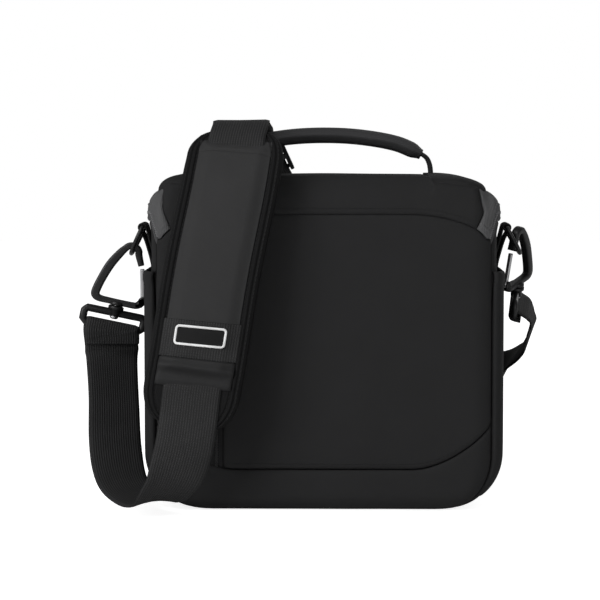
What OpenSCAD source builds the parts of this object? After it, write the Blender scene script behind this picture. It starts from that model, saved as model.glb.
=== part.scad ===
// Soft carry case with a zipped lid, a carry handle and a padded shoulder strap.
// Frame: X to the right seen from the front, Y to the back, Z up, origin on the floor under the case.

/* [Case] */
// Width across the padded walls
case_w = 235; // [180:1:320]
// Depth across the padded walls
case_d = 144; // [100:1:220]
// Height of the rim where the lid parts from the case
rim_z = 199; // [120:1:300]
// Thickness of the padded walls
wall_t = 10; // [6:0.5:16]
// Corner radius of the case seen from above
corner_r = 18; // [12:1:30]
// How far the lower corners are rounded inward, seen from the front
foot_in = 24; // [5:1:26]
// How far up the sides the lower corners are rounded
foot_up = 22; // [5:1:24]
// Thickness of the padded base panel
base_t = 6; // [3:0.5:12]
// Thickness of the stiff board in the base
board_t = 2.5; // [1:0.5:5]
// Thickness of the inner lining
lining_t = 1.5; // [0.8:0.1:3]
// Thickness of the front panels
panel_t = 5.5; // [3:0.5:9]
// Height of the seam above the lower front panel
low_seam_z = 28; // [15:1:60]

/* [Pockets] */
// Height of the top edge of the side pockets
pocket_top_z = 160; // [100:1:185]
// Thickness of a side pocket lying flat
pocket_t = 3.5; // [2:0.5:8]
// Depth of a side pocket from front to back
pocket_d = 100; // [60:1:130]
// Place of the front pocket zip across the front
pocket_zip_x = -71.5; // [-90:0.5:-40]

/* [Lid] */
// Gap between lid and case along the rim
lid_gap = 0.8; // [0.4:0.1:2]
// Height of the flat ends of the lid top
lid_top_z = 222; // [200:1:240]
// Thickness of the padded lid panel
lid_panel_t = 10; // [5:0.5:15]
// Thickness of the lid gusset
gusset_t = 3; // [2:0.5:5]
// Half length of the raised middle of the lid
saddle_half = 71; // [50:1:90]
// Height of the raised middle of the lid
saddle_h = 4.5; // [2:0.5:8]

/* [Zip] */
// Thickness of the zip tapes
tape_t = 1.5; // [1:0.1:3]
// Width of one zip tape
tape_w = 7.5; // [5:0.5:12]
// Where the two lid sliders meet along the back
zip_meet_x = -68; // [-80:1:80]
// Length of a pull tab
pull_l = 28; // [15:1:40]

/* [Handle] */
// Half span of the handle at the lid
handle_half = 74; // [50:1:90]
// Half length of the padded grip
grip_half = 66; // [40:1:80]
// Height of the middle line of the grip
grip_z = 253; // [235:1:270]
// Half width of the grip
grip_half_w = 15; // [10:0.5:20]
// Half thickness of the grip
grip_half_t = 6; // [3:0.5:10]

/* [Strap] */
// Width of the shoulder strap webbing
web_w = 38; // [25:1:50]
// Thickness of the webbing
web_t = 1.8; // [1:0.1:3]
// Width of the shoulder pad
pad_w = 65; // [50:1:80]
// Thickness of the foam of the shoulder pad
pad_t = 9; // [5:0.5:14]

/* [Hardware] */
// Wire radius of the rings
wire_r = 1.5; // [1:0.1:3]
// Half width of a ring between the middles of its arms
ring_half = 14.5; // [10:0.5:20]
// Length of the straight arms of a ring
ring_arm = 6; // [3:0.5:10]
// Distance of a ring's bar from the middle of the case
fold_x = 126; // [122:0.5:135]
// Height of a ring's bar
fold_z = 187; // [175:0.5:194]
// How far the left ring hangs outward, in degrees
left_hang = 25; // [5:1:45]
// How far the right ring hangs outward, in degrees
right_hang = 29; // [5:1:45]
// Half thickness of a snap hook
hook_half_t = 2.75; // [2:0.25:4]
// Running clearance of a pin in its bore
fit = 0.06; // [0.01:0.01:0.1]

/* [Hidden] */
half_w = case_w / 2;
half_d = case_d / 2;
front_y = -half_d - 0.3 - panel_t;
floor_z = base_t + board_t + lining_t;
outer_d = (half_d - front_y) / 2;
outer_y = (half_d + front_y) / 2;
panel_edge = half_w - 5;
flap_edge = half_w - 10;
lid_z = rim_z + lid_gap;
shoulder_z = lid_top_z - 12;
inner_w = half_w - wall_t;
inner_d = half_d - wall_t;
divider_x = 56;
ring_depth = ring_half + ring_arm;
web_half = web_w / 2;
pad_back = web_t / 2 + 0.4;
cover_front = web_t / 2 + 1.8;

// Directions and places of the left hook: up its swivel, along its base and the swivel itself
left_up = unit([0.225, 0, 0.974]);
left_along = unit([0.974, 0, -0.225]);
left_loop_along = square_to([0.94, 0.25, -0.2], left_up);
left_ring_end = [-fold_x - ring_depth * sin(left_hang), 0, fold_z - ring_depth * cos(left_hang)];
left_swivel = left_ring_end - 40 * left_up - 2.2 * left_along;

// Directions and places of the right hook, which the strap draws back along its ring
right_up = unit([0.02, -0.35, 0.937]);
right_along = square_to([-0.5, -0.866, 0], right_up);
right_loop_along = square_to([-0.1, -0.95, 0], right_up);
right_seat_y = 8;
right_seat_depth = ring_arm + sqrt(pow(ring_half, 2) - pow(right_seat_y, 2));
right_seat = [fold_x + right_seat_depth * sin(right_hang), right_seat_y,
    fold_z - right_seat_depth * cos(right_hang)];
right_swivel = right_seat - 31 * right_up - 2.4 * right_along;

// Vector helpers
function unit(v) = v / norm(v);
function square_to(v, axis) = unit(v - (v * axis) * axis);

// Smooth curve through the points of a route, with the given number of steps between points
function between(p, i, t) =
    let (a = p[max(i - 1, 0)], b = p[i], c = p[i + 1], d = p[min(i + 2, len(p) - 1)])
    0.5 * (2 * b + (c - a) * t + (2 * a - 5 * b + 4 * c - d) * t * t + (3 * b - a - 3 * c + d) * t * t * t);
function smooth(p, steps) =
    [for (i = [0 : len(p) - 2]) for (s = [0 : steps - 1]) between(p, i, s / steps), p[len(p) - 1]];

// Travel direction and width direction at point i of a route
function tangent(p, i) = unit(p[min(i + 1, len(p) - 1)] - p[max(i - 1, 0)]);
function across(p, w, i) = square_to(w[i], tangent(p, i));

// A section carried to point i; its first value runs across and is stretched by s
function carried(p, w, s, section, i) =
    let (a = across(p, w, i), n = cross(tangent(p, i), a))
    [for (q = section) p[i] + q.x * s[i] * a + q.y * n];

// One value for each point of a route
function same(value, p) = [for (q = p) value];

// Closed solid through a row of rings of points. A ring that is not convex has its ends in convex caps.
module skin(rings, caps) {
    k = len(rings[0]);
    m = len(rings);
    near = is_undef(caps) ? [[for (j = [0 : k - 1]) j]] : caps;
    polyhedron(
        points = [for (r = rings) each r],
        faces = concat(
            near,
            [for (c = near) [for (j = [len(c) - 1 : -1 : 0]) (m - 1) * k + c[j]]],
            [for (i = [0 : m - 2]) for (j = [0 : k - 1])
                [i * k + j, (i + 1) * k + j, (i + 1) * k + (j + 1) % k]],
            [for (i = [0 : m - 2]) for (j = [0 : k - 1])
                [i * k + j, (i + 1) * k + (j + 1) % k, i * k + (j + 1) % k]]));
}

// Closed solid made by carrying a section along a route
module sweep(p, w, s, section, caps) {
    skin([for (i = [0 : len(p) - 1]) carried(p, w, s, section, i)], caps);
}

// Section of a flat strip between two offsets, with unit half width
function strip(low, high) = [[-1, low], [1, low], [1, high], [-1, high]];

// Section of a bar with softened corners
function bar_section(a, b, c) = [[-a + c, -b], [a - c, -b], [a, -b + c], [a, b - c], [a - c, b], [-a + c, b],
    [-a, b - c], [-a, -b + c]];

// Draws its children in the frame with the given origin and first two directions
module placed(o, u, v) {
    n = cross(u, v);
    multmatrix([[u.x, v.x, n.x, o.x], [u.y, v.y, n.y, o.y], [u.z, v.z, n.z, o.z], [0, 0, 0, 1]])
        children();
}

// Rounded rectangle seen from above
module outline(a, b, r) {
    square([2 * (a - r), 2 * b], center = true);
    square([2 * a, 2 * (b - r)], center = true);
    for (x = [-1, 1]) for (y = [-1, 1]) translate([x * (a - r), y * (b - r)]) circle(r, $fn = 48);
}

// Upright slab with the given outline between two heights
module plate(a, b, r, low, high) {
    translate([0, 0, low]) linear_extrude(high - low) outline(a, b, r);
}

// Slab with the outer outline of the case, front panels included, set in by the given amount
module outer_plate(inset, low, high) {
    translate([0, outer_y, 0]) plate(half_w - inset, outer_d - inset, corner_r - inset, low, high);
}

// Keeps what lies inside the front outline of the case, whose lower corners are rounded
module front_rounded() {
    foot = [for (a = [0 : 7.5 : 90]) [half_w - foot_in + foot_in * sin(a), foot_up - foot_up * cos(a)]];
    top = [[half_w, 2 * rim_z], [-half_w, 2 * rim_z]];
    last = len(foot) - 1;
    intersection() {
        children();
        rotate([90, 0, 0]) linear_extrude(2 * case_d, center = true)
            polygon(concat(foot, top, [for (i = [0 : last]) [-foot[last - i].x, foot[last - i].y]]));
    }
}

// Block between two opposite corners
module block(low, high) {
    translate(low) cube(high - low);
}

// Base
module base_panel() {
    color("#26262a") front_rounded() outer_plate(0, 0, base_t);
}

module base_board() {
    color("#6b6258") plate(inner_w, inner_d, corner_r - wall_t, base_t, base_t + board_t);
}

module inner_lining() {
    color("#4a4b4f") difference() {
        plate(inner_w, inner_d, corner_r - wall_t, base_t + board_t, rim_z);
        plate(inner_w - lining_t, inner_d - lining_t, corner_r - wall_t - lining_t, floor_z, rim_z + 1);
    }
}

// Padded walls
module wall_ring() {
    difference() {
        outer_plate(0, base_t, rim_z);
        plate(inner_w, inner_d, corner_r - wall_t, base_t - 1, rim_z + 1);
        block([-panel_edge - 0.1, -case_d, base_t - 1], [panel_edge + 0.1, -half_d, rim_z + 1]);
    }
}

module flat_wall(side) {
    edge = half_w - corner_r;
    low = side < 0 ? -half_d : inner_d;
    block([-edge, low, base_t], [edge, low + wall_t, rim_z]);
}

module front_wall() {
    color("#242428") flat_wall(-1);
}

module back_wall() {
    color("#242428") flat_wall(1);
}

module side_wall(side) {
    edge = half_w - corner_r;
    front_rounded() intersection() {
        wall_ring();
        translate([side * (edge + 50), 0, 100]) cube([100, 2 * case_d, 400], center = true);
    }
}

module left_wall() {
    color("#242428") side_wall(-1);
}

module right_wall() {
    color("#242428") side_wall(1);
}

// Front panels, rounded to the outline of the case at their outer edges
module front_panel(left, right, low, high) {
    intersection() {
        outer_plate(0, low, high);
        block([left, front_y - 1, low - 1], [right, front_y + panel_t, high + 1]);
    }
}

module front_pocket_panel() {
    color("#28282c") front_panel(pocket_zip_x + 4.5, panel_edge, low_seam_z, rim_z);
}

module front_side_panel() {
    color("#28282c") front_panel(-panel_edge, pocket_zip_x - 4.5, low_seam_z, rim_z);
}

module front_lower_panel() {
    color("#242428") front_rounded() front_panel(-panel_edge, panel_edge, base_t, low_seam_z - 0.3);
}

module pocket_zip_tape() {
    color("#1c1c1f")
        block([pocket_zip_x - 4.3, front_y + 2, low_seam_z], [pocket_zip_x + 4.3, front_y + 4, rim_z - 4]);
}

// Side pockets lying flat on the walls
module side_pocket(side) {
    low = foot_up + 2;
    mid_z = (low + pocket_top_z) / 2;
    near = side < 0 ? -half_w - 0.2 - pocket_t : half_w + 0.2;
    translate([near, 0, mid_z]) rotate([90, 0, 90])
        linear_extrude(pocket_t) outline(pocket_d / 2, (pocket_top_z - low) / 2, 8);
}

module left_side_pocket() {
    color("#222226") side_pocket(-1);
}

module right_side_pocket() {
    color("#222226") side_pocket(1);
}

// Webbing tabs that hold the rings
module tab() {
    outer = wire_r + fit + web_t;
    rotate([90, 0, 0]) linear_extrude(25, center = true) difference() {
        union() {
            translate([fold_x, fold_z]) circle(outer, $fn = 48);
            polygon([[half_w + 0.1, pocket_top_z + 0.3], [half_w + 3.7, pocket_top_z + 0.3],
                [half_w + 4.3, pocket_top_z + 9], [fold_x + 2.6, fold_z - 2], [fold_x - 3.2, fold_z + 1],
                [half_w + 0.7, pocket_top_z + 10]]);
        }
        translate([fold_x, fold_z]) circle(wire_r + fit, $fn = 48);
    }
}

module left_tab() {
    color("#1b1b1d") mirror([1, 0, 0]) tab();
}

module right_tab() {
    color("#1b1b1d") tab();
}

// Zip tapes along the left, back and right of the rim
module rim_tape(low, high) {
    difference() {
        outer_plate(-0.2 - tape_t, low, high);
        outer_plate(-0.2, low - 1, high + 1);
        block([-case_w, -case_d, low - 1], [case_w, -half_d + 12, high + 1]);
    }
}

module body_zip_tape() {
    color("#5c5d60") rim_tape(rim_z - 5.4, rim_z - 0.3);
}

module lid_zip_tape() {
    color("#5c5d60") rim_tape(lid_z, lid_z + tape_w);
}

// Lid
module lid_panel() {
    color("#2a2a2e")
        outer_plate(9.2 + gusset_t, lid_top_z - lid_panel_t, lid_top_z);
}

module lid_lining() {
    color("#4a4b4f")
        outer_plate(10 + gusset_t, lid_top_z - lid_panel_t - lining_t, lid_top_z - lid_panel_t);
}

// Lid skin set in by the given amount: it rises from the rim and leans in above the shoulder
module lid_form(inset, low, high) {
    outer_plate(inset, low, shoulder_z);
    hull() {
        outer_plate(inset, shoulder_z - 0.1, shoulder_z);
        outer_plate(inset + 9, high - 0.1, high);
    }
}

// The stretch of the lid skin that hangs down in front of the case
module flap_zone(edge) {
    block([-edge, front_y - 1, lid_z - 2], [edge, -half_d + 6, lid_top_z + 2]);
}

module lid_front_flap() {
    color("#28282c") intersection() {
        difference() {
            lid_form(0, lid_z, lid_top_z);
            lid_form(gusset_t, lid_z - 1, lid_top_z + 0.1);
        }
        flap_zone(flap_edge);
    }
}

module lid_gusset() {
    color("#55565a") difference() {
        lid_form(0, lid_z, lid_top_z);
        lid_form(gusset_t, lid_z - 1, lid_top_z + 0.1);
        flap_zone(flap_edge + 0.1);
    }
}

module lid_saddle() {
    color("#2a2a2e") translate([0, half_d - 10, lid_top_z]) rotate([90, 0, 0])
        linear_extrude(case_d - 20) intersection() {
            translate([-saddle_half, 0]) square([2 * saddle_half, saddle_h]);
            union() {
                square([2 * (saddle_half - saddle_h), 2 * saddle_h], center = true);
                for (x = [-1, 1]) translate([x * (saddle_half - saddle_h), 0]) circle(saddle_h, $fn = 48);
            }
        }
}

// Carry handle
function handle_route() = smooth([[-grip_half, 0, grip_z - 14], [-50, 0, grip_z - 6], [-25, 0, grip_z - 1.3],
    [0, 0, grip_z], [25, 0, grip_z - 1.3], [50, 0, grip_z - 6], [grip_half, 0, grip_z - 14]], 4);

module handle_grip() {
    p = handle_route();
    color("#2c2c30") sweep(p, same([0, 1, 0], p), same(1, p), bar_section(grip_half_w, grip_half_t, 4));
}

module handle_strap(side) {
    p = smooth([[side * handle_half, 0, lid_top_z + 0.3], [side * (handle_half - 0.5), 0, lid_top_z + 7],
        [side * (handle_half - 2.5), 0, lid_top_z + 13], [side * (grip_half + 1), 0, grip_z - 14.8]], 3);
    color("#1b1b1d") sweep(p, same([0, 1, 0], p), same(13, p), strip(-web_t / 2, web_t / 2));
}

module left_handle_strap() {
    handle_strap(-1);
}

module right_handle_strap() {
    handle_strap(1);
}

// Zip sliders: a body on the tapes, two cheeks and the bar that a pull hangs from.
// Drawn with the bar along X at the origin and the tapes behind, at +Y.
module slider_body() {
    block([-4.2, 2.2, -7], [4.2, 6, 5]);
    for (x = [-4.2, 2.9]) block([x, -1.4, -1.4], [x + 1.3, 2.4, 1.4]);
    rotate([0, 90, 0]) cylinder(h = 8, r = 0.9, center = true, $fn = 32);
}

module pull_tab() {
    difference() {
        union() {
            rotate([0, 90, 0]) cylinder(h = 5, r = 2, center = true, $fn = 32);
            block([-2.5, -0.8, -pull_l], [2.5, 0.8, 0]);
        }
        rotate([0, 90, 0]) cylinder(h = 7, r = 0.9 + fit, center = true, $fn = 32);
    }
}

// Place of a lid slider on the back, and of the pocket slider on the front
module at_back(x) {
    translate([x, half_d + tape_t + 6.4, rim_z + 1.5]) rotate([0, 0, 180]) children();
}

module at_front() {
    translate([pocket_zip_x, front_y - 4.2, 178]) children();
}

module left_lid_slider() {
    color("#3a3a3d") at_back(zip_meet_x - 6) slider_body();
}

module right_lid_slider() {
    color("#3a3a3d") at_back(zip_meet_x + 6) slider_body();
}

module left_lid_pull() {
    color("#2a2a2c") at_back(zip_meet_x - 6) pull_tab();
}

module right_lid_pull() {
    color("#2a2a2c") at_back(zip_meet_x + 6) pull_tab();
}

module pocket_slider() {
    color("#3a3a3d") at_front() slider_body();
}

module pocket_pull() {
    color("#2a2a2c") at_front() pull_tab();
}

// Padded divider that stands across the inside and slides along it
module divider() {
    color("#4a4b4f")
        block(
            [divider_x - 4, -inner_d + lining_t + 0.6, floor_z + 0.4],
            [divider_x + 4, inner_d - lining_t - 0.6, 150]
        );
}

// Rings, drawn with the bar along Y at the origin and the bow hanging down
module d_ring() {
    rotate([90, 0, 0]) cylinder(h = 2 * (ring_half + wire_r), r = wire_r, center = true, $fn = 32);
    for (y = [-1, 1]) translate([0, y * ring_half, -ring_arm]) cylinder(h = ring_arm, r = wire_r, $fn = 32);
    translate([0, 0, -ring_arm]) rotate([0, 90, 0]) rotate([0, 0, -90])
        rotate_extrude(angle = 180, $fn = 64) translate([ring_half, 0]) circle(wire_r, $fn = 32);
}

module left_ring() {
    color("#303033") translate([-fold_x, 0, fold_z]) rotate([0, left_hang, 0]) d_ring();
}

module right_ring() {
    color("#303033") translate([fold_x, 0, fold_z]) rotate([0, -right_hang, 0]) d_ring();
}

// Strap loop below the swivel: a flat frame with a round bar for the webbing and a boss for the stud
module strap_loop() {
    difference() {
        union() {
            for (x = [-1, 1]) translate([x * 21.6, -7.5, 0]) cube([2.8, 15, 5], center = true);
            translate([0, -3, 0]) cube([45.9, 4, 5], center = true);
            rotate([90, 0, 0]) translate([0, 0, -2.2]) cylinder(h = 7, r = 4.6, $fn = 48);
            translate([0, -13, 0]) rotate([0, 90, 0]) cylinder(h = 45.9, r = 2, center = true, $fn = 32);
        }
        rotate([90, 0, 0]) translate([0, 0, -4]) cylinder(h = 12, r = stud_r + fit, $fn = 48);
    }
}

module left_strap_loop() {
    color("#242426") placed(left_swivel, left_loop_along, left_up) strap_loop();
}

module right_strap_loop() {
    color("#242426") placed(right_swivel, right_loop_along, right_up) strap_loop();
}

// Snap hook frame: lug, base bar, long leg, bow and nose in one flat bent bar
bow_centre = [2.2, 40];
bow_r = 5.6;
bar_r = 2.4;
lug = [17.4, 9.5];
stud_r = 1.8;

// Middle line of the hook's bar, and the points beside a line at the given distance
hook_line = concat(
    [lug + [0.7, 2.8], lug, [16.6, 6.6], [13.8, 5], [-13.4, 5], [-15.4, 5.9], [-16, 8.4]],
    [for (a = [180 : -15 : 0]) bow_centre + bow_r * [cos(a), sin(a)]],
    [[10.4, 34.6]]);
function beside(p, i, d) = let (t = tangent(p, i)) p[i] + d * [-t.y, t.x];

module hook_outline() {
    last = len(hook_line) - 1;
    polygon(concat(
        [for (i = [0 : last]) beside(hook_line, i, bar_r)],
        [for (i = [0 : last]) beside(hook_line, last - i, -bar_r)]));
}

module hook_frame() {
    difference() {
        linear_extrude(2 * hook_half_t, center = true) hook_outline();
        translate([lug.x, lug.y + 1.5, 0]) cube([9, 9.5, 2.9], center = true);
        translate(lug) cylinder(h = 20, r = 1, center = true, $fn = 32);
        translate([0, 1, 0]) rotate([-90, 0, 0]) cylinder(h = 4.2, r = stud_r, $fn = 48);
    }
}

module hook_stud() {
    rotate([90, 0, 0]) translate([0, 0, -5.2]) cylinder(h = 10.4, r = stud_r, $fn = 48);
    rotate([90, 0, 0]) translate([0, 0, 5.2]) cylinder(h = 1.2, r = 3, $fn = 48);
}

module gate() {
    tip = [11.8, 31.2];
    lean = atan2(tip.y - lug.y, tip.x - lug.x);
    difference() {
        union() {
            translate(lug) cylinder(h = 2.5, r = 2.4, center = true, $fn = 32);
            translate(lug) rotate([0, 0, lean]) translate([0, -1.5, -1.25])
                cube([norm(tip - lug), 3, 2.5]);
        }
        translate(lug) cylinder(h = 9, r = 1 + fit, center = true, $fn = 32);
    }
}

module gate_pin() {
    translate(lug) cylinder(h = 2 * hook_half_t, r = 1, center = true, $fn = 32);
}

module at_left_hook() {
    placed(left_swivel, left_along, left_up) children();
}

module at_right_hook() {
    placed(right_swivel, right_along, right_up) children();
}

module left_hook() {
    color("#2a2a2d") at_left_hook() hook_frame();
}

module right_hook() {
    color("#2a2a2d") at_right_hook() hook_frame();
}

module left_hook_stud() {
    color("#8a8c90") at_left_hook() hook_stud();
}

module right_hook_stud() {
    color("#8a8c90") at_right_hook() hook_stud();
}

module left_gate() {
    color("#8a8c90") at_left_hook() gate();
}

module right_gate() {
    color("#8a8c90") at_right_hook() gate();
}

module left_gate_pin() {
    color("#8a8c90") at_left_hook() gate_pin();
}

module right_gate_pin() {
    color("#8a8c90") at_right_hook() gate_pin();
}

// Route of the shoulder strap. Each stop has a place and the direction of the webbing's width there.
left_bar = left_swivel - 13 * left_up;
right_bar = right_swivel - 13 * right_up;
bar_turn = 2 + 0.4 + web_t / 2;
left_out = cross(left_loop_along, left_up);
right_out = cross(right_loop_along, right_up);

// From the sewn end on the left loop, round its bar and down to the pad
front_stops = [
    [left_bar - [0, 0, 22] - 1.2 * left_out, left_loop_along],
    [left_bar - [0, 0, 14] - 2.2 * left_out, left_loop_along],
    [left_bar - 3 * left_up - (bar_turn + 0.25) * left_out, left_loop_along],
    [left_bar + 2.3 * left_up - 2.3 * left_out, left_loop_along],
    [left_bar + bar_turn * left_up, left_loop_along],
    [left_bar + 2.3 * left_up + 2.3 * left_out, left_loop_along],
    [left_bar - 3 * left_up + (bar_turn + 0.25) * left_out, left_loop_along],
    [left_bar - [0, 0, 14] + 2.2 * left_out, left_loop_along],
    [left_bar - [0, 0, 24] + 1.2 * left_out, [0.9, 0.4, -0.15]],
    [[-146, -14, 66], [0.85, 0.52, -0.04]],
    [[-143, -37, 40], [0.84, 0.54, 0]],
    [[-137, -65, 22], [0.8, 0.6, 0]],
    [[-126.5, -89, 13], [0.86, 0.5, 0.02]],
    [[-111.5, -101.5, 11], [0.95, 0.28, 0.1]],
    [[-99.5, -108.5, 22], [0.93, 0.3, 0.15]],
    [[-92, -112, 42], [0.98, 0.05, 0.17]]];

// Through the pad, from its lower end to its upper end
pad_stops = [
    [[-88.5, -112.5, 61], [0.98, 0, 0.18]],
    [[-85.5, -111.5, 85], [0.98, 0, 0.18]],
    [[-82, -110, 104.5], [0.98, 0, 0.18]],
    [[-78, -108.3, 130], [0.98, 0, 0.18]],
    [[-74.5, -106.6, 152], [0.98, 0, 0.17]],
    [[-70.5, -104.6, 174], [0.98, 0, 0.17]],
    [[-66, -102, 196], [0.98, 0, 0.17]],
    [[-62, -98.5, 216], [0.98, 0, 0.15]],
    [[-59, -93, 234], [0.98, 0, 0.13]],
    [[-57, -83, 249], [0.99, 0, 0.1]]];

// Over the handle, down behind the case and round the bar of the right loop
back_stops = [
    [[-55, -66, 258.5], [1, 0, 0.05]],
    [[-56, -40, 260], [1, 0.05, 0]],
    [[-57, 0, 259.5], [1, 0.08, 0]],
    [[-56.5, 45, 255.5], [1, 0.1, 0.05]],
    [[-54.5, 75.5, 244.5], [0.9, 0.05, 0.42]],
    [[-48, 86.5, 228.5], [0.86, 0, 0.51]],
    [[-39.5, 95.5, 211], [0.845, 0, 0.536]],
    [[-18, 99, 177], [0.82, 0, 0.57]],
    [[8, 99, 139], [0.78, 0.05, 0.62]],
    [[38, 99, 98], [0.7, 0.15, 0.7]],
    [[73, 98, 72], [0.4, 0.3, 0.87]],
    [[108.2, 94.5, 70.8], [-0.3, 0.31, 0.9]],
    [[129.8, 83.7, 73.7], [0.24, 0.33, 0.91]],
    [[136.1, 55, 90.2], [0.29, 0.93, 0.23]],
    [[145.6, 33.7, 107.9], [0.36, 0.46, 0.81]],
    [right_bar - 3.6 * right_up - 11.3 * right_out, -right_loop_along],
    [right_bar + 0.6 * right_up - 4.2 * right_out, -right_loop_along],
    [right_bar + 2.6 * right_up - 2.4 * right_out, -right_loop_along],
    [right_bar + bar_turn * right_up, -right_loop_along],
    [right_bar + 2.3 * right_up + 2.3 * right_out, -right_loop_along],
    [right_bar + bar_turn * right_out, -right_loop_along],
    [right_bar - 2.5 * right_up + 2.6 * right_out, -right_loop_along],
    [right_bar - 3.8 * right_up - 0.2 * right_out, -right_loop_along],
    [right_bar - 5 * right_up - 7 * right_out, -right_loop_along]];

strap_stops = concat(front_stops, pad_stops, back_stops);
steps = 4;
strap_route = smooth([for (s = strap_stops) s[0]], steps);
strap_across = smooth([for (s = strap_stops) s[1]], steps);
pad_first = steps * len(front_stops);
pad_last = pad_first + steps * (len(pad_stops) - 1);
strap_cut = pad_first + 4 * steps;
strap_split = pad_last + 11 * steps;

// The part of a list between two places
function part(list, first, last) = [for (i = [first : last]) list[i]];

// A strip of the given half width laid along part of the strap
module along_strap(first, last, half, section, caps) {
    p = part(strap_route, first, last);
    sweep(p, part(strap_across, first, last), same(half, p), section, caps);
}

// A length of the webbing, cut square to the whole route so that two lengths meet face to face
module webbing(first, last) {
    s = same(web_half, strap_route);
    section = strip(-web_t / 2, web_t / 2);
    skin([for (i = [first : last]) carried(strap_route, strap_across, s, section, i)]);
}

module strap_front_webbing() {
    color("#1d1d1f") webbing(0, strap_cut);
}

module strap_over_webbing() {
    color("#1d1d1f") webbing(strap_cut, strap_split);
}

module strap_end_webbing() {
    color("#1d1d1f") webbing(strap_split, len(strap_route) - 1);
}

// Distance along a route from its start to point i, and how full the width is near the two round ends
function run(p, i) = i == 0 ? 0 : run(p, i - 1) + norm(p[i] - p[i - 1]);
function fullness(along, whole, r) =
    let (left = min(along, whole - along)) left >= r ? 1 : 0.45 + 0.55 * sqrt(1 - pow(1 - left / r, 2));

module shoulder_pad() {
    low = pad_back;
    high = pad_back + pad_t;
    p = part(strap_route, pad_first, pad_last);
    whole = run(p, len(p) - 1);
    half = [for (i = [0 : len(p) - 1]) pad_w / 2 * fullness(run(p, i), whole, 24)];
    color("#222226") sweep(p, part(strap_across, pad_first, pad_last), half,
        [[-0.94, low], [0.94, low], [1, low + 2], [1, high - 3], [0.85, high], [-0.85, high], [-1, high - 3],
        [-1, low + 2]]);
}

// Sleeve on the pad that the webbing runs through
module pad_cover() {
    low = web_t / 2 + 0.2;
    side = web_half + 0.5;
    edge = pad_back - 0.1;
    color("#333337") along_strap(pad_first + steps, pad_last - 1, 1,
        [[-24, edge], [-24, -low], [-22.5, -cover_front], [22.5, -cover_front], [24, -low], [24, edge],
        [side, edge], [side, -low], [-side, -low], [-side, edge]],
        [[0, 1, 8, 9], [1, 2, 3, 4, 7, 8], [4, 5, 6, 7]]);
}

// Bands sewn across the front of the sleeve
module pad_band(first, last) {
    along_strap(first, last, 27, strip(-cover_front - 1.7, -cover_front - 0.2));
}

module pad_label_band() {
    color("#1d1d1f") pad_band(pad_first + 2 * steps, pad_first + 3 * steps);
}

module pad_keeper() {
    color("#38383c") pad_band(pad_first + steps, pad_first + 2 * steps - 1);
}

module pad_label() {
    color("#131315") along_strap(pad_first + 2 * steps + 1, pad_first + 3 * steps - 1, 16,
        strip(-cover_front - 2.3, -cover_front - 1.8));
}

// Adjuster on the strap behind the lid: two posts, two outer bars and a middle bar that the webbing threads
module strap_adjuster() {
    at = steps * (len(front_stops) + len(pad_stops) + 5);
    post = web_half + 2.2;
    color("#202022")
    placed(strap_route[at], across(strap_route, strap_across, at), tangent(strap_route, at)) {
        for (x = [-post, post]) translate([x, 0, 0]) cube([3, 26, 8.4], center = true);
        for (y = [-11.5, 11.5]) translate([0, y, 3]) cube([2 * post, 3, 2.4], center = true);
        translate([0, 0, -3]) cube([2 * post, 4, 2.4], center = true);
    }
}

base_panel();
base_board();
inner_lining();
front_wall();
back_wall();
left_wall();
right_wall();
front_pocket_panel();
front_side_panel();
front_lower_panel();
pocket_zip_tape();
left_side_pocket();
right_side_pocket();
left_tab();
right_tab();
body_zip_tape();
lid_panel();
lid_lining();
lid_front_flap();
lid_gusset();
lid_saddle();
lid_zip_tape();
left_handle_strap();
right_handle_strap();
handle_grip();
left_lid_slider();
right_lid_slider();
left_lid_pull();
right_lid_pull();
pocket_slider();
pocket_pull();
divider();
left_ring();
right_ring();
left_strap_loop();
right_strap_loop();
left_hook();
right_hook();
left_hook_stud();
right_hook_stud();
left_gate();
right_gate();
left_gate_pin();
right_gate_pin();
strap_front_webbing();
strap_over_webbing();
strap_end_webbing();
shoulder_pad();
pad_cover();
pad_label_band();
pad_label();
pad_keeper();
strap_adjuster();
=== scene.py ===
"""Looks of a soft carry case: padded shell, zipped lid, handle, shoulder strap and its metal fittings."""
import math

import bmesh
import bpy
import numpy as np
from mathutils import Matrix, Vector


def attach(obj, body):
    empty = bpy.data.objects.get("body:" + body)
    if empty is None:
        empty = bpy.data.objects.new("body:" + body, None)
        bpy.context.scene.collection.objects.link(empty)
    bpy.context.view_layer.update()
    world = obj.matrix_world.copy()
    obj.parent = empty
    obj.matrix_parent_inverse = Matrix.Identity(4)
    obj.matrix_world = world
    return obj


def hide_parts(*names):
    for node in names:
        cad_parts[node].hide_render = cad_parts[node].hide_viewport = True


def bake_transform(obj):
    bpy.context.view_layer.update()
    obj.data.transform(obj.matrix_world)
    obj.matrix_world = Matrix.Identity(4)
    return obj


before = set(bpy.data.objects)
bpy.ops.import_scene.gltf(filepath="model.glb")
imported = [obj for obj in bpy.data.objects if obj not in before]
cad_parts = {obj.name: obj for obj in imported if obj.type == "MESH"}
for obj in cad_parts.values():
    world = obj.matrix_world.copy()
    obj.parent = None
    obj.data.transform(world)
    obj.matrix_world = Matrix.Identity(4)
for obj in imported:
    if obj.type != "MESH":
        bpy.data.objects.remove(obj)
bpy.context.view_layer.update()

# Sizes are in millimetres and become metres when a mesh is made
MM = 0.001
HALF_W = 117.5
FRONT_Y = -77.8
BACK_Y = 72.0
CORNER = 18.0
RIM_Z = 199.0
MID_Y = (FRONT_Y + BACK_Y) / 2
HALF_D = (BACK_Y - FRONT_Y) / 2
STRAIGHT_X = HALF_W - CORNER
STRAIGHT_Y = HALF_D - CORNER
ARC = CORNER * math.pi / 2
HALF_ROUND = 2 * STRAIGHT_X + 2 * STRAIGHT_Y + 2 * ARC
FRONT_SEAM = 114.0
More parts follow.
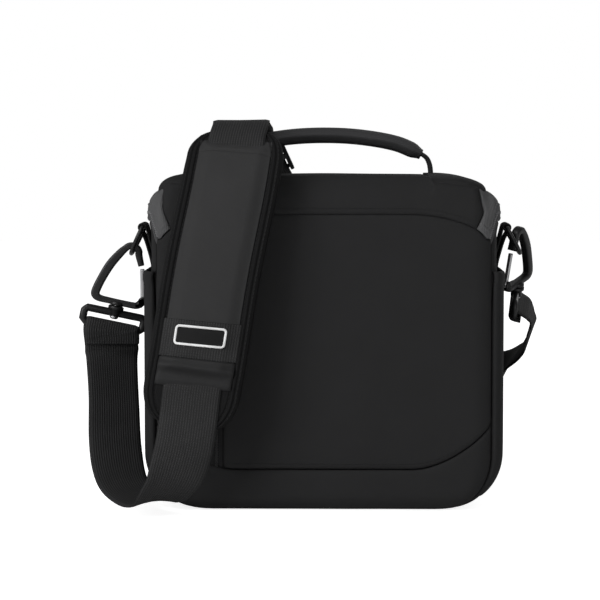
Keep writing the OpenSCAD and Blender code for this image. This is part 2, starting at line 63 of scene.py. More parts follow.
REAR_SEAM = STRAIGHT_X + ARC + 2 * STRAIGHT_Y + ARC / 2
ZIP_X = -71.5
ZIP_GAP = 4.5
ZIP_END = 110
SEAM_GAP = 0.3
FRONT_T = 5.3
WALL_T = 9.6
FOOT_W = 33.0
FOOT_H = 37.0
FOOT_D = 11.0


# Small numeric helpers
def ease(low, high, x):
    """Smooth step from 0 at low to 1 at high."""
    t = np.clip((x - low) / (high - low), 0, 1)
    return t * t * (3 - 2 * t)


def roll(d, reach, depth):
    """How far a padded face falls away at d mm from its sewn edge."""
    t = np.clip(1 - d / reach, 0, 1)
    return depth * (1 - np.sqrt(1 - t * t))


def ridge(d, half, height):
    """Soft ridge of the given half width at d = 0; taken away, it is a furrow."""
    return height * np.exp(-(d / half) ** 2)


def close_ended(a, b, count, edge):
    """Samples from a to b that crowd together near both ends."""
    near = edge * np.linspace(0, 1, 6) ** 1.6
    return np.concatenate([a + near, np.linspace(a + edge, b - edge, count)[1:-1], b - near[::-1]])


def grid(first, second):
    """Pairs every value of one row with every value of another."""
    return np.meshgrid(first, second, indexing="ij")


def stacked(x, y, z):
    """Points from three arrays or numbers."""
    return np.stack(np.broadcast_arrays(x, y, z), axis=-1)


def unit(v):
    """Directions of length 1."""
    v = np.asarray(v, float)
    return v / np.linalg.norm(v, axis=-1, keepdims=True)


def square_to(v, axis):
    """The part of each direction that lies across an axis, at length 1."""
    v = np.asarray(v, float)
    return unit(v - np.sum(v * axis, axis=-1, keepdims=True) * axis)


def smooth_route(stops, steps):
    """Curve through the stops, with the given number of steps between two of them."""
    p = np.asarray(stops, float)
    out = []
    for i in range(len(p) - 1):
        a, b, c, d = p[max(i - 1, 0)], p[i], p[i + 1], p[min(i + 2, len(p) - 1)]
        for t in np.arange(steps) / steps:
            out.append(0.5 * (2 * b + (c - a) * t + (2 * a - 5 * b + 4 * c - d) * t ** 2
                              + (3 * b - a - 3 * c + d) * t ** 3))
    out.append(p[-1])
    return np.array(out)


def tangents(p):
    """Directions along a route."""
    ahead = np.vstack([p[1:], p[-1:]])
    behind = np.vstack([p[:1], p[:-1]])
    return unit(ahead - behind)


def loop_tangents(p):
    """Directions along a row of points that closes on itself."""
    return unit(np.roll(p, -1, axis=0) - np.roll(p, 1, axis=0))


def lengths(p):
    """Distance along a route at each of its points."""
    return np.concatenate([[0], np.cumsum(np.linalg.norm(np.diff(p, axis=0), axis=1))])


def points_at(places, along, points):
    """Points at the given distances along a route."""
    return np.stack([np.interp(places, along, column) for column in points.T], -1)


# Mesh helpers
def make_piece(name, points, faces, uv, material):
    """New mesh object from points in mm, with outward normals, smooth shading and UVs in metres."""
    mesh = bpy.data.meshes.new(name)
    mesh.from_pydata((np.asarray(points, float) * MM).tolist(), [], faces)
    layer = mesh.uv_layers.new(name="UVMap")
    corner = np.empty(len(mesh.loops), dtype=np.int32)
    mesh.loops.foreach_get("vertex_index", corner)
    layer.data.foreach_set("uv", (np.asarray(uv, float) * MM)[corner].astype(np.float32).ravel())
    work = bmesh.new()
    work.from_mesh(mesh)
    bmesh.ops.recalc_face_normals(work, faces=work.faces)
    work.to_mesh(mesh)
    work.free()
    mesh.polygons.foreach_set("use_smooth", [True] * len(mesh.polygons))
    mesh.materials.append(material)
    piece = bpy.data.objects.new(name, mesh)
    bpy.context.collection.objects.link(piece)
    return piece


def slab(name, outer, inner, flat, material):
    """Closed piece between an outer and an inner grid of points; flat holds the coordinates of its weave."""
    n, m = outer.shape[:2]
    index = np.arange(2 * n * m).reshape(2, n, m)
    faces = []
    for i in range(n - 1):
        for j in range(m - 1):
            faces.append((index[0, i, j], index[0, i + 1, j], index[0, i + 1, j + 1], index[0, i, j + 1]))
            faces.append((index[1, i, j], index[1, i, j + 1], index[1, i + 1, j + 1], index[1, i + 1, j]))
    rim = [(i, 0) for i in range(n)] + [(n - 1, j) for j in range(1, m)]
    rim += [(i, m - 1) for i in range(n - 2, -1, -1)] + [(0, j) for j in range(m - 2, 0, -1)]
    for (a, b), (c, d) in zip(rim, rim[1:] + rim[:1]):
        faces.append((index[0, a, b], index[1, a, b], index[1, c, d], index[0, c, d]))
    points = np.concatenate([outer.reshape(-1, 3), inner.reshape(-1, 3)])
    both = np.concatenate([np.stack(flat, -1).reshape(-1, 2)] * 2)
    return make_piece(name, points, [tuple(int(k) for k in f) for f in faces], both, material)


def loft(name, rings, material, closed=False):
    """Closed piece through a row of rings of points; its ends are capped unless the row closes on itself."""
    rings = np.asarray(rings, float)
    n, k = rings.shape[:2]
    faces = []
    for i in range(n if closed else n - 1):
        for j in range(k):
            a, b = i * k + j, i * k + (j + 1) % k
            c, d = (i + 1) % n * k + (j + 1) % k, (i + 1) % n * k + j
            faces.append((a, b, c, d))
    if not closed:
        faces.append(tuple(range(k)))
        faces.append(tuple((n - 1) * k + j for j in reversed(range(k))))
    along = lengths(rings.mean(axis=1))
    around = np.array([lengths(r) for r in rings])
    uv = np.stack([around, np.repeat(along[:, None], k, axis=1)], axis=-1)
    return make_piece(name, rings.reshape(-1, 3), faces, uv.reshape(-1, 2), material)


def carried(p, across, section):
    """Rings of a section carried along a route: its first value goes across, its second along the normal."""
    t = tangents(p)
    a = square_to(across, t)
    n = np.cross(t, a)
    section = np.asarray(section, float)
    if section.ndim == 2:
        section = np.repeat(section[None], len(p), axis=0)
    return p[:, None] + section[..., :1] * a[:, None] + section[..., 1:] * n[:, None]


def rounded_bar(half_a, half_b, radius, steps=4):
    """Section of a bar with round corners."""
    out = []
    for sx, sy, turn in ((1, 1, 0), (-1, 1, 90), (-1, -1, 180), (1, -1, 270)):
        for angle in np.radians(turn + np.linspace(0, 90, steps)):
            out.append((sx * (half_a - radius) + radius * math.cos(angle),
                        sy * (half_b - radius) + radius * math.sin(angle)))
    return np.array(out)


def circle(radius, count):
    """Points on a circle."""
    angle = np.arange(count) * 2 * math.pi / count
    return np.stack([radius * np.cos(angle), radius * np.sin(angle)], axis=-1)


def ribbon_section(half, thick):
    """Section of a flat strip with soft edges."""
    a = np.linspace(-half, half, 15)
    height = thick / 2 * np.sqrt(np.clip(1 - (np.abs(a) / half) ** 24, 0.05, 1))
    return np.concatenate([np.stack([a, height], -1), np.stack([a[::-1], -height[::-1]], -1)])


def merged(name, parts):
    """Joins several new pieces into one object."""
    bpy.ops.object.select_all(action="DESELECT")
    for p in parts:
        p.select_set(True)
    bpy.context.view_layer.objects.active = parts[0]
    bpy.ops.object.join()
    parts[0].name = name
    return parts[0]


def capsules(name, starts, ends, radius, material):
    """Row of short round bars, such as stitches or zip teeth, as one mesh."""
    starts, ends = np.asarray(starts, float), np.asarray(ends, float)
    t = unit(ends - starts)
    helper = np.where(np.abs(t[:, 2:3]) < 0.9, [[0.0, 0, 1]], [[1.0, 0, 0]])
    a = unit(np.cross(t, helper))
    b = np.cross(t, a)
    sides = 6
    ring = circle(radius, sides)
    points, faces = [], []
    for k in range(len(starts)):
        base = len(points)
        for place, width in ((0.0, 0.55), (0.2, 1.0), (0.8, 1.0), (1.0, 0.55)):
            centre = starts[k] + (ends[k] - starts[k]) * place
            points.extend(centre + width * (x * a[k] + y * b[k]) for x, y in ring)
        for near in range(base, base + 3 * sides, sides):
            far = near + sides
            for j in range(sides):
                after = (j + 1) % sides
                faces.append((near + j, near + after, far + after, far + j))
        faces.append(tuple(base + j for j in reversed(range(sides))))
        faces.append(tuple(base + 3 * sides + j for j in range(sides)))
    return make_piece(name, points, faces, np.zeros((len(points), 2)), material)


# Bodies and nodes
def fit(piece, slot, body, *nodes):
    """Hides the nodes that a piece stands for and, unless it is blended, gives it its body; the slot is not
    used.
    """
    if nodes:
        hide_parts(*nodes)
    if body:
        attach(piece, body)


def fit_padded(piece, slot, body, *nodes, fill=0.6):
    """The same for a padded piece."""
    fit(piece, slot, body, *nodes)


def fit_sheet(piece, slot, body, node):
    """The same for webbing and bands."""
    fit(piece, slot, body, node)


def sewn_row(name, path, body, slot="shell_fabric"):
    """Row of topstitching along a path; it has no body where it is blended afterwards."""
    pitch, length, radius = 3.0, 2.1, 0.24
    along = lengths(path)
    places = np.arange(pitch / 2, along[-1] - length, pitch)
    starts, ends = points_at(places, along, path), points_at(places + length, along, path)
    row = capsules(name, starts, ends, radius, THREAD)
    fit(row, slot, body)
    return row


# Materials
def shader(name):
    """New material, its node tree and its main shader."""
    material = bpy.data.materials.new(name)
    material.use_nodes = True
    tree = material.node_tree
    return material, tree, tree.nodes["Principled BSDF"]


def mottled(tree, bsdf, colour, vary, scale, weave_shade=None):
    """Colour that drifts a little over the surface and, where given, follows the weave: painted light on the
    raised threads and painted shade between them.
    """
    place = tree.nodes.new("ShaderNodeTexCoord")
    noise = tree.nodes.new("ShaderNodeTexNoise")
    noise.inputs["Scale"].default_value = scale
    noise.inputs["Detail"].default_value = 4
    tree.links.new(place.outputs["Object"], noise.inputs["Vector"])
    level = noise.outputs["Fac"]
    if weave_shade is not None:
        level = averaged(tree, level, weave_shade)
    ramp = tree.nodes.new("ShaderNodeValToRGB")
    low = [c * (1 - vary) for c in colour]
    high = [min(c * (1 + vary), 1) for c in colour]
    ramp.color_ramp.elements[0].position = 0.3
    ramp.color_ramp.elements[1].position = 0.7
    ramp.color_ramp.elements[0].color = (*low, 1)
    ramp.color_ramp.elements[1].color = (*high, 1)
    tree.links.new(level, ramp.inputs["Fac"])
    tree.links.new(ramp.outputs["Color"], bsdf.inputs["Base Color"])


def bands(tree, vector, axis, period):
    """Wave across one axis of the UVs, repeating every period metres."""
    wave = tree.nodes.new("ShaderNodeTexWave")
    wave.wave_type = "BANDS"
    wave.bands_direction = axis
    wave.inputs["Scale"].default_value = math.pi / 10 / period
    tree.links.new(vector, wave.inputs["Vector"])
    return wave.outputs["Fac"]


def combined(tree, operation, a, b):
    """Result of an operation on two sockets or numbers."""
    node = tree.nodes.new("ShaderNodeMath")
    node.operation = operation
    for socket, value in zip(node.inputs, (a, b)):
        if isinstance(value, (int, float)):
            socket.default_value = value
        else:
            tree.links.new(value, socket)
    return node.outputs["Value"]


def averaged(tree, a, b):
    """Mean of two sockets."""
    half_a = combined(tree, "MULTIPLY", a, 0.5)
    half_b = combined(tree, "MULTIPLY", b, 0.5)
    return combined(tree, "ADD", half_a, half_b)


def bumped(tree, bsdf, height, distance):
    """Bump on a shader, distance metres deep."""
    bump = tree.nodes.new("ShaderNodeBump")
    bump.inputs["Strength"].default_value = 1.0
    bump.inputs["Distance"].default_value = distance
    tree.links.new(height, bump.inputs["Height"])
    tree.links.new(bump.outputs["Normal"], bsdf.inputs["Normal"])


def cloth(name, colour, rough, warp, weft, depth, vary=0.1):
    """Woven cloth whose threads repeat every warp and weft metres; its colour follows the threads as painted
    light and shade.
    """
    material, tree, bsdf = shader(name)
    place = tree.nodes.new("ShaderNodeTexCoord").outputs["UV"]
    lengthwise = bands(tree, place, "X", warp)
    crosswise = bands(tree, place, "Y", weft)
    weave = combined(tree, "MULTIPLY", lengthwise, crosswise)
    # The colour follows the weave bands as well as a random drift: painted light on the threads, painted
    # shade between them.
    mottled(tree, bsdf, colour, vary, 40, averaged(tree, lengthwise, weave))
    weave = combined(tree, "ADD", weave, combined(tree, "MULTIPLY", lengthwise, 0.6))
    bumped(tree, bsdf, weave, depth)
    bsdf.inputs["Roughness"].default_value = rough
    bsdf.inputs["Specular IOR Level"].default_value = 0.12
    return material


def moulded(name, colour, rough, metal=0.0, grain=900, specular=0.5):
    """Coated metal or plastic with a fine grain."""
    material, tree, bsdf = shader(name)
    mottled(tree, bsdf, colour, 0.12, 120)
    noise = tree.nodes.new("ShaderNodeTexNoise")
    noise.inputs["Scale"].default_value = grain
    place = tree.nodes.new("ShaderNodeTexCoord")
    tree.links.new(place.outputs["Object"], noise.inputs["Vector"])
    bumped(tree, bsdf, noise.outputs["Fac"], 0.00003)
    bsdf.inputs["Roughness"].default_value = rough
    bsdf.inputs["Metallic"].default_value = metal
    bsdf.inputs["Specular IOR Level"].default_value = specular
    return material


SHELL = cloth("shell cloth", (0.0185, 0.0185, 0.019), 0.75, 0.0006, 0.0006, 0.00006)
GUSSET = cloth("gusset cloth", (0.09, 0.09, 0.092), 0.75, 0.0012, 0.0008, 0.00012)
TAPE = cloth("zip tape", (0.07, 0.07, 0.072), 0.75, 0.0009, 0.0007, 0.0001)
DARK_TAPE = cloth("pocket zip tape", (0.012, 0.012, 0.0125), 0.75, 0.0009, 0.0007, 0.0001)
LINING = cloth("lining cloth", (0.07, 0.07, 0.075), 0.85, 0.0008, 0.0008, 0.00005)
# The webbing's wide colour swing follows its coarse weave as painted light and shade, mixed with a random
# drift.
WEBBING = cloth("webbing", (0.028, 0.028, 0.0285), 0.7, 0.0017, 0.0017, 0.00022, vary=0.3)
# Grip, lighter than the shell: partly its own smoother cloth, partly painted sheen.
GRIP = cloth("grip cloth", (0.0432, 0.0432, 0.0448), 0.65, 0.0006, 0.0006, 0.00005)
# Centre panel of the pad, lighter than the shell: partly its own smoother cloth, partly painted sheen.
PAD = cloth("pad cloth", (0.031, 0.031, 0.0315), 0.65, 0.0007, 0.0007, 0.00007)
# Pad binding, far darker than the centre panel: partly its own colour, partly painted shade over the rolled
# edges.
PAD_BINDING_AND_SHADE = cloth("pad binding and painted shade", (0.0075, 0.0075, 0.0078), 0.75, 0.0009, 0.0009, 0.00012)
KEEPER = cloth("keeper band", (0.021, 0.021, 0.0215), 0.5, 0.0006, 0.0006, 0.00004)
LABEL = cloth("label patch", (0.009, 0.009, 0.0093), 0.55, 0.0005, 0.0005, 0.00003)
LABEL_EDGE = moulded("label border", (0.8, 0.8, 0.8), 0.6)
THREAD = moulded("thread", (0.012, 0.012, 0.0125), 0.7, specular=0.2)
TEETH = moulded("pocket zip coil", (0.014, 0.014, 0.0145), 0.5)
# Lid zip coil, lighter grey than its tape: partly its own grey, partly a painted highlight along the closed
# zip.
COIL_AND_HIGHLIGHT = moulded("lid zip coil with painted highlight", (0.12, 0.12, 0.124), 0.4)
COATED = moulded("coated metal", (0.01, 0.01, 0.0105), 0.38, specular=0.35)
STEEL = moulded("bright steel", (0.55, 0.55, 0.56), 0.3, metal=1.0)
SLIDER = moulded("slider metal", (0.014, 0.014, 0.015), 0.4)
PLASTIC = moulded("moulded plastic", (0.007, 0.007, 0.0075), 0.45)
BOARD = moulded("stiff board", (0.14, 0.12, 0.1), 0.8, grain=300)


# Outline of the case seen from above: s is the distance round it and z the height; u, v and w run from 0 to 1
def outline(s):
    """Place and outward direction on the outline, s mm from the middle of the front towards the right."""
    s = np.asarray(s, float)
    s = (s + HALF_ROUND) % (2 * HALF_ROUND) - HALF_ROUND
    side = np.where(s < 0, -1.0, 1.0)
    t = np.abs(s)
    marks = np.cumsum([STRAIGHT_X, ARC, 2 * STRAIGHT_Y, ARC])
    first = np.clip((t - marks[0]) / CORNER, 0, math.pi / 2)
    second = np.clip((t - marks[2]) / CORNER, 0, math.pi / 2)
    turn = first + second
    nx, ny = np.sin(turn), -np.cos(turn)
    x = np.minimum(t, marks[0]) - np.maximum(t - marks[3], 0) + CORNER * nx
    y = MID_Y - STRAIGHT_Y + np.clip(t - marks[1], 0, 2 * STRAIGHT_Y) + CORNER * ny
    return side * x, y, side * nx, ny


def around(s):
    """Distance from the middle of the front, the same on both sides."""
    s = np.asarray(s, float)
    return np.abs((s + HALF_ROUND) % (2 * HALF_ROUND) - HALF_ROUND)


def corner_inset(z):
    """How far the rounded lower corners draw in the sides at a height."""
    side = np.clip((FOOT_H - z) / FOOT_H, 0, 1)
    return FOOT_W * (1 - np.sqrt(1 - side ** 2))


def draw_in(s, z):
    """How far the side walls draw in between their pockets and the zip."""
    depth = 2.0
    return depth * ease(108, 124, around(s)) * ease(146, 166, z) * (1 - ease(184, 196, z))


def skin(s, z, out):
    """Points on the skin of the case, whose lower corners are well rounded seen from the front."""
    x, y, nx, ny = outline(s)
    under = np.clip((FOOT_D - z) / FOOT_D, 0, 1)
    wide = 1 - (corner_inset(z) + draw_in(s, z)) / HALF_W
    deep = 1 - FOOT_D * (1 - np.sqrt(1 - under ** 2)) / HALF_D
    return stacked((x + nx * out) * wide, MID_Y + (y + ny * out - MID_Y) * deep, z)


def flap_line(s):
    """Height of the sewn lower edge of the lid's flap, which falls towards the front corners."""
    level_half, drop, reach = 56, 24, 55
    t = np.clip(around(s) - level_half, 0, 52.5) / reach
    return RIM_Z - drop * (1 - np.sqrt(1 - t ** 2))


def rim(s):
    """Height of the line where the lid parts from the case; it climbs again round the front corners."""
    low = flap_line(s)
    return low + (RIM_Z - low) * ease(ZIP_END, 119, around(s))


def rim_slope(s):
    """How steeply the rim climbs."""
    return rim(s + 0.5) - rim(s - 0.5)


def tape_drop(s):
    """How far the lower zip tape reaches below the rim, more where the rim is steep."""
    drop, most = 5.2, 2.2
    return drop * np.minimum(np.sqrt(1 + rim_slope(s) ** 2), most)


def low_seam(s):
    """Height of the seam above the lower front panel; it climbs at both ends."""
    height, level_half, climb = 28, 60, 24.4
    return height + climb * (np.clip(around(s) - level_half, 0, 60) / 48) ** 1.8


def ripple(s, z, amount):
    """Slow unevenness of stretched cloth."""
    return amount * (np.sin(s / 23 + 1.3) * np.sin(z / 31 + 0.4) + 0.6 * np.sin(s / 11 + z / 17))


# Reach and depth of a panel's fall towards its sewn edges
SEWN_EDGE = (3.2, 1.6)


def panel_out(s, z, span, low, high, crown, open_foot=False):
    """How far a padded panel stands out: crowned in its middle, drawn in along its sewn edges."""
    v = np.clip((z - low(s)) / (high(s) - low(s)), 0, 1)
    sides = roll(np.minimum(s - span[0], span[1] - s), *SEWN_EDGE)
    top = roll(high(s) - z, *SEWN_EDGE)
    foot = 0 if open_foot else roll(z - low(s), *SEWN_EDGE)
    middle = 1 - (2 * (s - span[0]) / (span[1] - span[0]) - 1) ** 2
    swell = crown * middle * (4 * v * (1 - v)) ** 0.6
    return np.maximum(swell + ripple(s, z, 0.25) * middle - sides - top - foot, -3.2)


def case_panel(name, span, low, high, counts, thick, material, power=1.0, **form):
    """Padded panel sewn onto the case between two places round it and two heights."""
    s, v = grid(close_ended(*span, counts[0], 5), close_ended(0, 1, counts[1], 0.03))
    z = low(s) + (high(s) - low(s)) * v ** power
    out = panel_out(s, z, span, low, high, **form)
    return slab(name, skin(s, z, out), skin(s, z, -thick), (s, z), material)


# Lower and upper edges of the panels round the case
def floor_line(s):
    """Foot of the panels that reach the floor."""
    return 0 * around(s)


def body_top(s):
    """Top of the walls, at the zip tape."""
    return rim(s) - tape_drop(s)


def front_top(s):
    """Top of the front panels, at the lid's flap."""
    return flap_line(s) - 0.4


def above_seam(s):
    """Foot of the panels above the lower front seam."""
    return low_seam(s) + SEAM_GAP


def below_seam(s):
    """Top of the panel below that seam."""
    return low_seam(s) - SEAM_GAP


def make_front():
    """Pocket panel, side panel and lower panel of the front, with topstitching over the lower seam."""
    spans = {
        "pocket": ((ZIP_X + ZIP_GAP, FRONT_SEAM), 70, 1.6),
        "side": ((-FRONT_SEAM, ZIP_X - ZIP_GAP), 24, 0.8),
    }
    stitch_in, stitch_up = 3.5, 3.8
    for name, (span, count, crown) in spans.items():
        panel = case_panel(f"front_{name}_cloth", span, above_seam, front_top, (count, 70), FRONT_T, SHELL,
                           crown=crown)
        fit_padded(panel, "shell_fabric", "case", f"front_{name}_panel")
        s = np.linspace(span[0] + stitch_in, span[1] - stitch_in, 120)
        z = low_seam(s) + stitch_up
        out = panel_out(s, z, span, above_seam, front_top, crown=crown)
        sewn_row(f"front_{name}_stitch", skin(s, z, out), "case")
    lower = case_panel("front_lower_cloth", (-FRONT_SEAM, FRONT_SEAM), floor_line, below_seam, (110, 24),
                       FRONT_T, SHELL, power=1.8, crown=0.8, open_foot=True)
    fit_padded(lower, "shell_fabric", "case", "front_lower_panel")


def make_case():
    """Padded walls, front panels and base of the case."""
    make_front()
    for name, sign in (("left", -1), ("right", 1)):
        span = sorted((sign * (FRONT_SEAM + 0.4), sign * (REAR_SEAM - SEAM_GAP)))
        make_wall(name, span, 60, 0.8)
    make_wall("back", (REAR_SEAM + SEAM_GAP, 2 * HALF_ROUND - REAR_SEAM - SEAM_GAP), 80, 1.2)
    make_front_wall()
    make_base()


def make_wall(name, span, columns, crown):
    """Padded wall on one side of the case or at its back."""
    wall = case_panel(f"{name}_wall_cloth", span, floor_line, body_top, (columns, 60), WALL_T, SHELL,
                      power=1.6, crown=crown, open_foot=True)
    fit_padded(wall, "shell_fabric", "case", f"{name}_wall")


def make_front_wall():
    """Padded wall behind the front panels; only its top edge shows, with the lid open."""
    foot, top, half_wide, front_y, back_y = 6.2, 195, 106, -72.0, -62.3
    u, z = grid(close_ended(-1, 1, 40, 0.05), close_ended(foot, top, 40, 5))
    half = half_wide - corner_inset(z)
    x = half * u
    give = roll(np.minimum(half - np.abs(x), top - z), 5, 3)
    front = stacked(x, front_y + give, z)
    back = stacked(x, back_y - give, z)
    wall = slab("front_wall_cloth", front, back, (x, z), LINING)
    fit_padded(wall, "shell_fabric", "case", "front_wall")


def make_base():
    """Base panel between the lower edges of the walls."""
    s = np.linspace(-HALF_ROUND, HALF_ROUND, 161)[:-1]
    rings = []
    for inset, z in ((12, 0.8), (9.5, 0.2), (8.8, 1.2), (8.8, 4.5), (12, 5.6)):
        ring = skin(s, 0 * s, -inset + 0 * s)
        ring[:, 2] = z
        rings.append(ring)
    base = loft("base_cloth", rings, SHELL)
    fit_padded(base, "shell_fabric", "case", "base_panel")


def gather(s, z):
    """Small folds where the mouth of a side pocket draws its cloth together."""
    depth, spacing = 0.3, 2.9
    return depth * np.sin(s / spacing) * ease(120, 158, z)


def make_side_pockets():
    """Side pockets from seam to seam, lying flat but for a mouth that stands off the wall a little."""
    start, end = FRONT_SEAM + 0.5, REAR_SEAM - 0.5
    foot, top, hem_seam, proud = 9, 160, 150.5, 3.3
    fall, thick, backing = 2.6, 1.6, 3.5
    hem_rise, hem_down, hem_half = 0.8, 4, 4.5
    for name, sign in (("left", -1), ("right", 1)):
        s, v = grid(close_ended(start, end, 50, 5), close_ended(0, 1, 70, 0.03))
        z = foot + (top - foot) * v ** 1.3
        edge = np.minimum(s - start, end - s)
        hem = hem_rise * np.exp(-((top - z - hem_down) / hem_half) ** 4) - ridge(z - hem_seam, 0.9, 0.6)
        out = proud - roll(edge, 6, fall) - roll(z - foot, 40, fall) - roll(top - z, 2.5, 1.2)
        out = np.maximum(out + hem + gather(s, z), 0.35) + draw_in(s, z)
        inside = out - thick - backing * (1 - ease(125, 150, z))
        outer, inner = skin(sign * s, z, out), skin(sign * s, z, inside)
        pocket = slab(f"{name}_pocket_cloth", outer, inner, (s, z), SHELL)
        fit_padded(pocket, "shell_fabric", "case", f"{name}_side_pocket", fill=0.2)
        s = np.linspace(start + 6, end - 6, 90)
        z = 0 * s + hem_seam
        out = proud + gather(s, z) + draw_in(s, z)
        sewn_row(f"{name}_pocket_hem_stitch", skin(sign * s, z, out), "case")


def rounded_ring(half_x, half_y, z):
    """Ring of points on a rectangle with round corners."""
    angle = np.linspace(0, 2 * math.pi, 161)[:-1]
    bend = 0.11
    c, d = (np.sign(part) * np.abs(part) ** bend for part in (np.cos(angle), np.sin(angle)))
    return stacked(half_x * c, half_y * d, z)


def inner_half(z):
    """Half width of the inside, which follows the rounded lower corners."""
    return 107.3 - corner_inset(z)


def make_lining():
    """Lining of the inside: up its outer face, over its hem and down its inner face."""
    top, half_deep = RIM_Z - 1.4, 61.8
    outside = [(0, z) for z in (8.8, 12, 17, 24, 34, 60, 120, top - 1.5)] + [(0.5, top)]
    inside = [(1.3, top - 1)] + [(1.4, z) for z in (120, 60, 34, 24, 17, 12.8, 10.2)]
    rings = [rounded_ring(inner_half(z) - inset, half_deep - inset, z) for inset, z in outside + inside]
    lining = loft("lining_cloth", rings, LINING)
    fit(lining, "lining_fabric", "case", "inner_lining")


def make_divider():
    """Padded divider that stands across the inside."""
    place, reach, foot, top, half_thick = 56, 59, 11.2, 149.6, 3.9
    y, z = grid(close_ended(-reach, reach, 40, 5), close_ended(foot, top, 44, 5))
    edge = np.minimum(reach - np.abs(y), np.minimum(z - foot, top - z))
    half = half_thick - roll(edge, 5, 2.6)
    divider = slab("divider_cloth", stacked(place + half, y, z), stacked(place - half, y, z), (y, z), LINING)
    fit_padded(divider, "lining_fabric", "divider", "divider")


def make_board():
    """Stiff board in the base."""
    levels = ((0.6, 6.1), (0, 6.6), (0, 8.0), (0.6, 8.5))
    half_wide, half_deep = 88, 60
    rings = [rounded_ring(half_wide - inset, half_deep - inset, z) for inset, z in levels]
    board = loft("base_board_sheet", rings, BOARD)
    fit(board, "base_board", "case", "base_board")


# Lid: limits of its top, and where the raised middle steps down to the end strips
TOP_FRONT = -73.3
TOP_BACK = 63
SADDLE_END = (69.5, 73.5)


def on_left(s):
    """1 on the left half of the outline and 0 on the right half."""
    s = np.asarray(s, float)
    return np.where((s + HALF_ROUND) % (2 * HALF_ROUND) < HALF_ROUND, 1.0, 0.0)


def lid_edge(s):
    """Height of the seam between the lid's skirt and its top; the left end sits a little higher."""
    t = around(s)
    middle, step, fall, left_rise, behind = 222.8, 3.4, 2.4, 1.6, 213.8
    later = 4 * on_left(s)
    front = middle - step * ease(*SADDLE_END, t) - fall * ease(74, 98, t)
    front += left_rise * on_left(s) * ease(74, 92, t)
    return front - (front - behind) * ease(98 + later, 116 + later, t)


def lean(s):
    """How far the skirt leans in at that seam, less on the left side."""
    t = around(s)
    middle, step, behind, left_less = 8.0, 3.5, 4.5, 2.5
    back = HALF_ROUND - STRAIGHT_X
    upright = left_less * on_left(s) * (1 - ease(back - 22, back, t))
    return middle - step * ease(*SADDLE_END, t) + (behind - upright) * ease(96, 116, t)


def lid_skin(s, w, out):
    """Points on the lid's skirt, from the rim at w = 0 to the seam of the top at w = 1."""
    x, y, nx, ny = outline(s)
    z = rim(s) + (lid_edge(s) - rim(s)) * w
    bend = 2.6
    push = out - lean(s) * w ** bend
    return stacked(x + nx * push, y + ny * push, z)


def flap_end(w):
    """Where the front flap ends and the grey gusset begins on the left and the right of the case."""
    level = [0, 0.23, 0.45, 0.52, 0.62, 1]
    left = np.interp(w, level, [101.5, 104.2, 107.2, 108.0, 109.0, 111.0])
    right = np.interp(w, level, [101.5, 104.2, 106.9, 107.3, 106.4, 105.3])
    return left, right


def make_flap():
    """Front of the lid, whose lower edge is sewn over the top of the front pocket."""
    u = np.concatenate([np.linspace(0, 0.62, 32), np.linspace(0.635, 0.72, 16), np.linspace(0.735, 0.95, 14),
                        np.linspace(0.96, 1, 6)])
    u = np.concatenate([-u[:0:-1], u])
    u, w = grid(u, close_ended(0, 1, 34, 0.06))
    left, right = flap_end(w)
    s = u * np.where(u < 0, left, right)
    tall = lid_edge(s) - rim(s)
    out = 0.9 - roll((1 - np.abs(u)) * 105, 7, 2.6) - roll(w * tall, 2.5, 1.2) + ripple(s, w * tall, 0.2)
    out -= roll((1 - w) * tall, 2.4, 1.5) * ease(71, 76, np.abs(s))
    outer = lid_skin(s, w, out)
    outer[..., 2] -= 0.7 * (1 - w) ** 8
    inner = lid_skin(s, w, 0 * s - 2.6)
    inner[..., 2] -= 3.0 * (1 - w) ** 8
    flap = slab("lid_flap_cloth", outer, inner, (s, w * tall), SHELL)
    fit_padded(flap, "shell_fabric", None, "lid_front_flap")
    blend_flap(flap)
    s = np.linspace(-97, 97, 200)
    stitch_up = 3.2
    w = stitch_up / (lid_edge(s) - rim(s))
    row = sewn_row("lid_flap_stitch", lid_skin(s, w, 0.95 + ripple(s, stitch_up, 0.2)), None)
    blend_flap(row)


def blend_flap(piece):
    """Bakes the placement of a piece round the hinge line into its mesh; it gets no body."""
    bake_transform(piece)


def make_gusset():
    """Grey skirt round the sides and back, with the upper zip tape."""
    u = np.concatenate([np.linspace(0, 0.01, 6), np.linspace(0.013, 0.1, 36), np.linspace(0.105, 0.895, 130),
                        np.linspace(0.9, 0.987, 36), np.linspace(0.99, 1, 6)])
    u, w = grid(u, close_ended(0, 1, 30, 0.06))
    left, right = flap_end(w)
    s = right + (2 * HALF_ROUND - left - right) * u
    tall = lid_edge(s) - rim(s)
    up = w * tall
    ends = roll(np.minimum(u, 1 - u) * 540, 4, 1.4)
    fold = ridge(up - 5.6, 0.7, 0.45) - ridge(up - 6.8, 0.5, 0.4)
    out = 0.5 + fold - ends - roll(up, 1.2, 0.5) - roll((1 - w) * tall, 2.5, 1.2)
    gusset = slab("lid_gusset_cloth", lid_skin(s, w, out), lid_skin(s, w, 0 * s - 2.2), (s, up), GUSSET)
    fit_padded(gusset, "gusset_fabric", None, "lid_gusset", "lid_zip_tape", fill=0.1)
    blend_flap(gusset)


def top_height(y, reach, fall):
    """Height of the lid's top, which falls away over the given reach towards the skirt."""
    crest, depth = 224.4, 10.6
    side = roll(reach, fall, depth)
    front = roll(y - TOP_FRONT, 26, 5.0)
    back = roll(TOP_BACK - y, 30, depth)
    return crest - np.sqrt(side ** 2 + front ** 2 + back ** 2)


def top_reach(y, half):
    """Half width of the lid's top, with its round corners, at a place from front to back."""
    corner = 13
    near = np.maximum(np.maximum(TOP_FRONT + corner - y, y - TOP_BACK + corner), 0)
    return half - (corner - np.sqrt(np.clip(corner ** 2 - near ** 2, 0, None)))


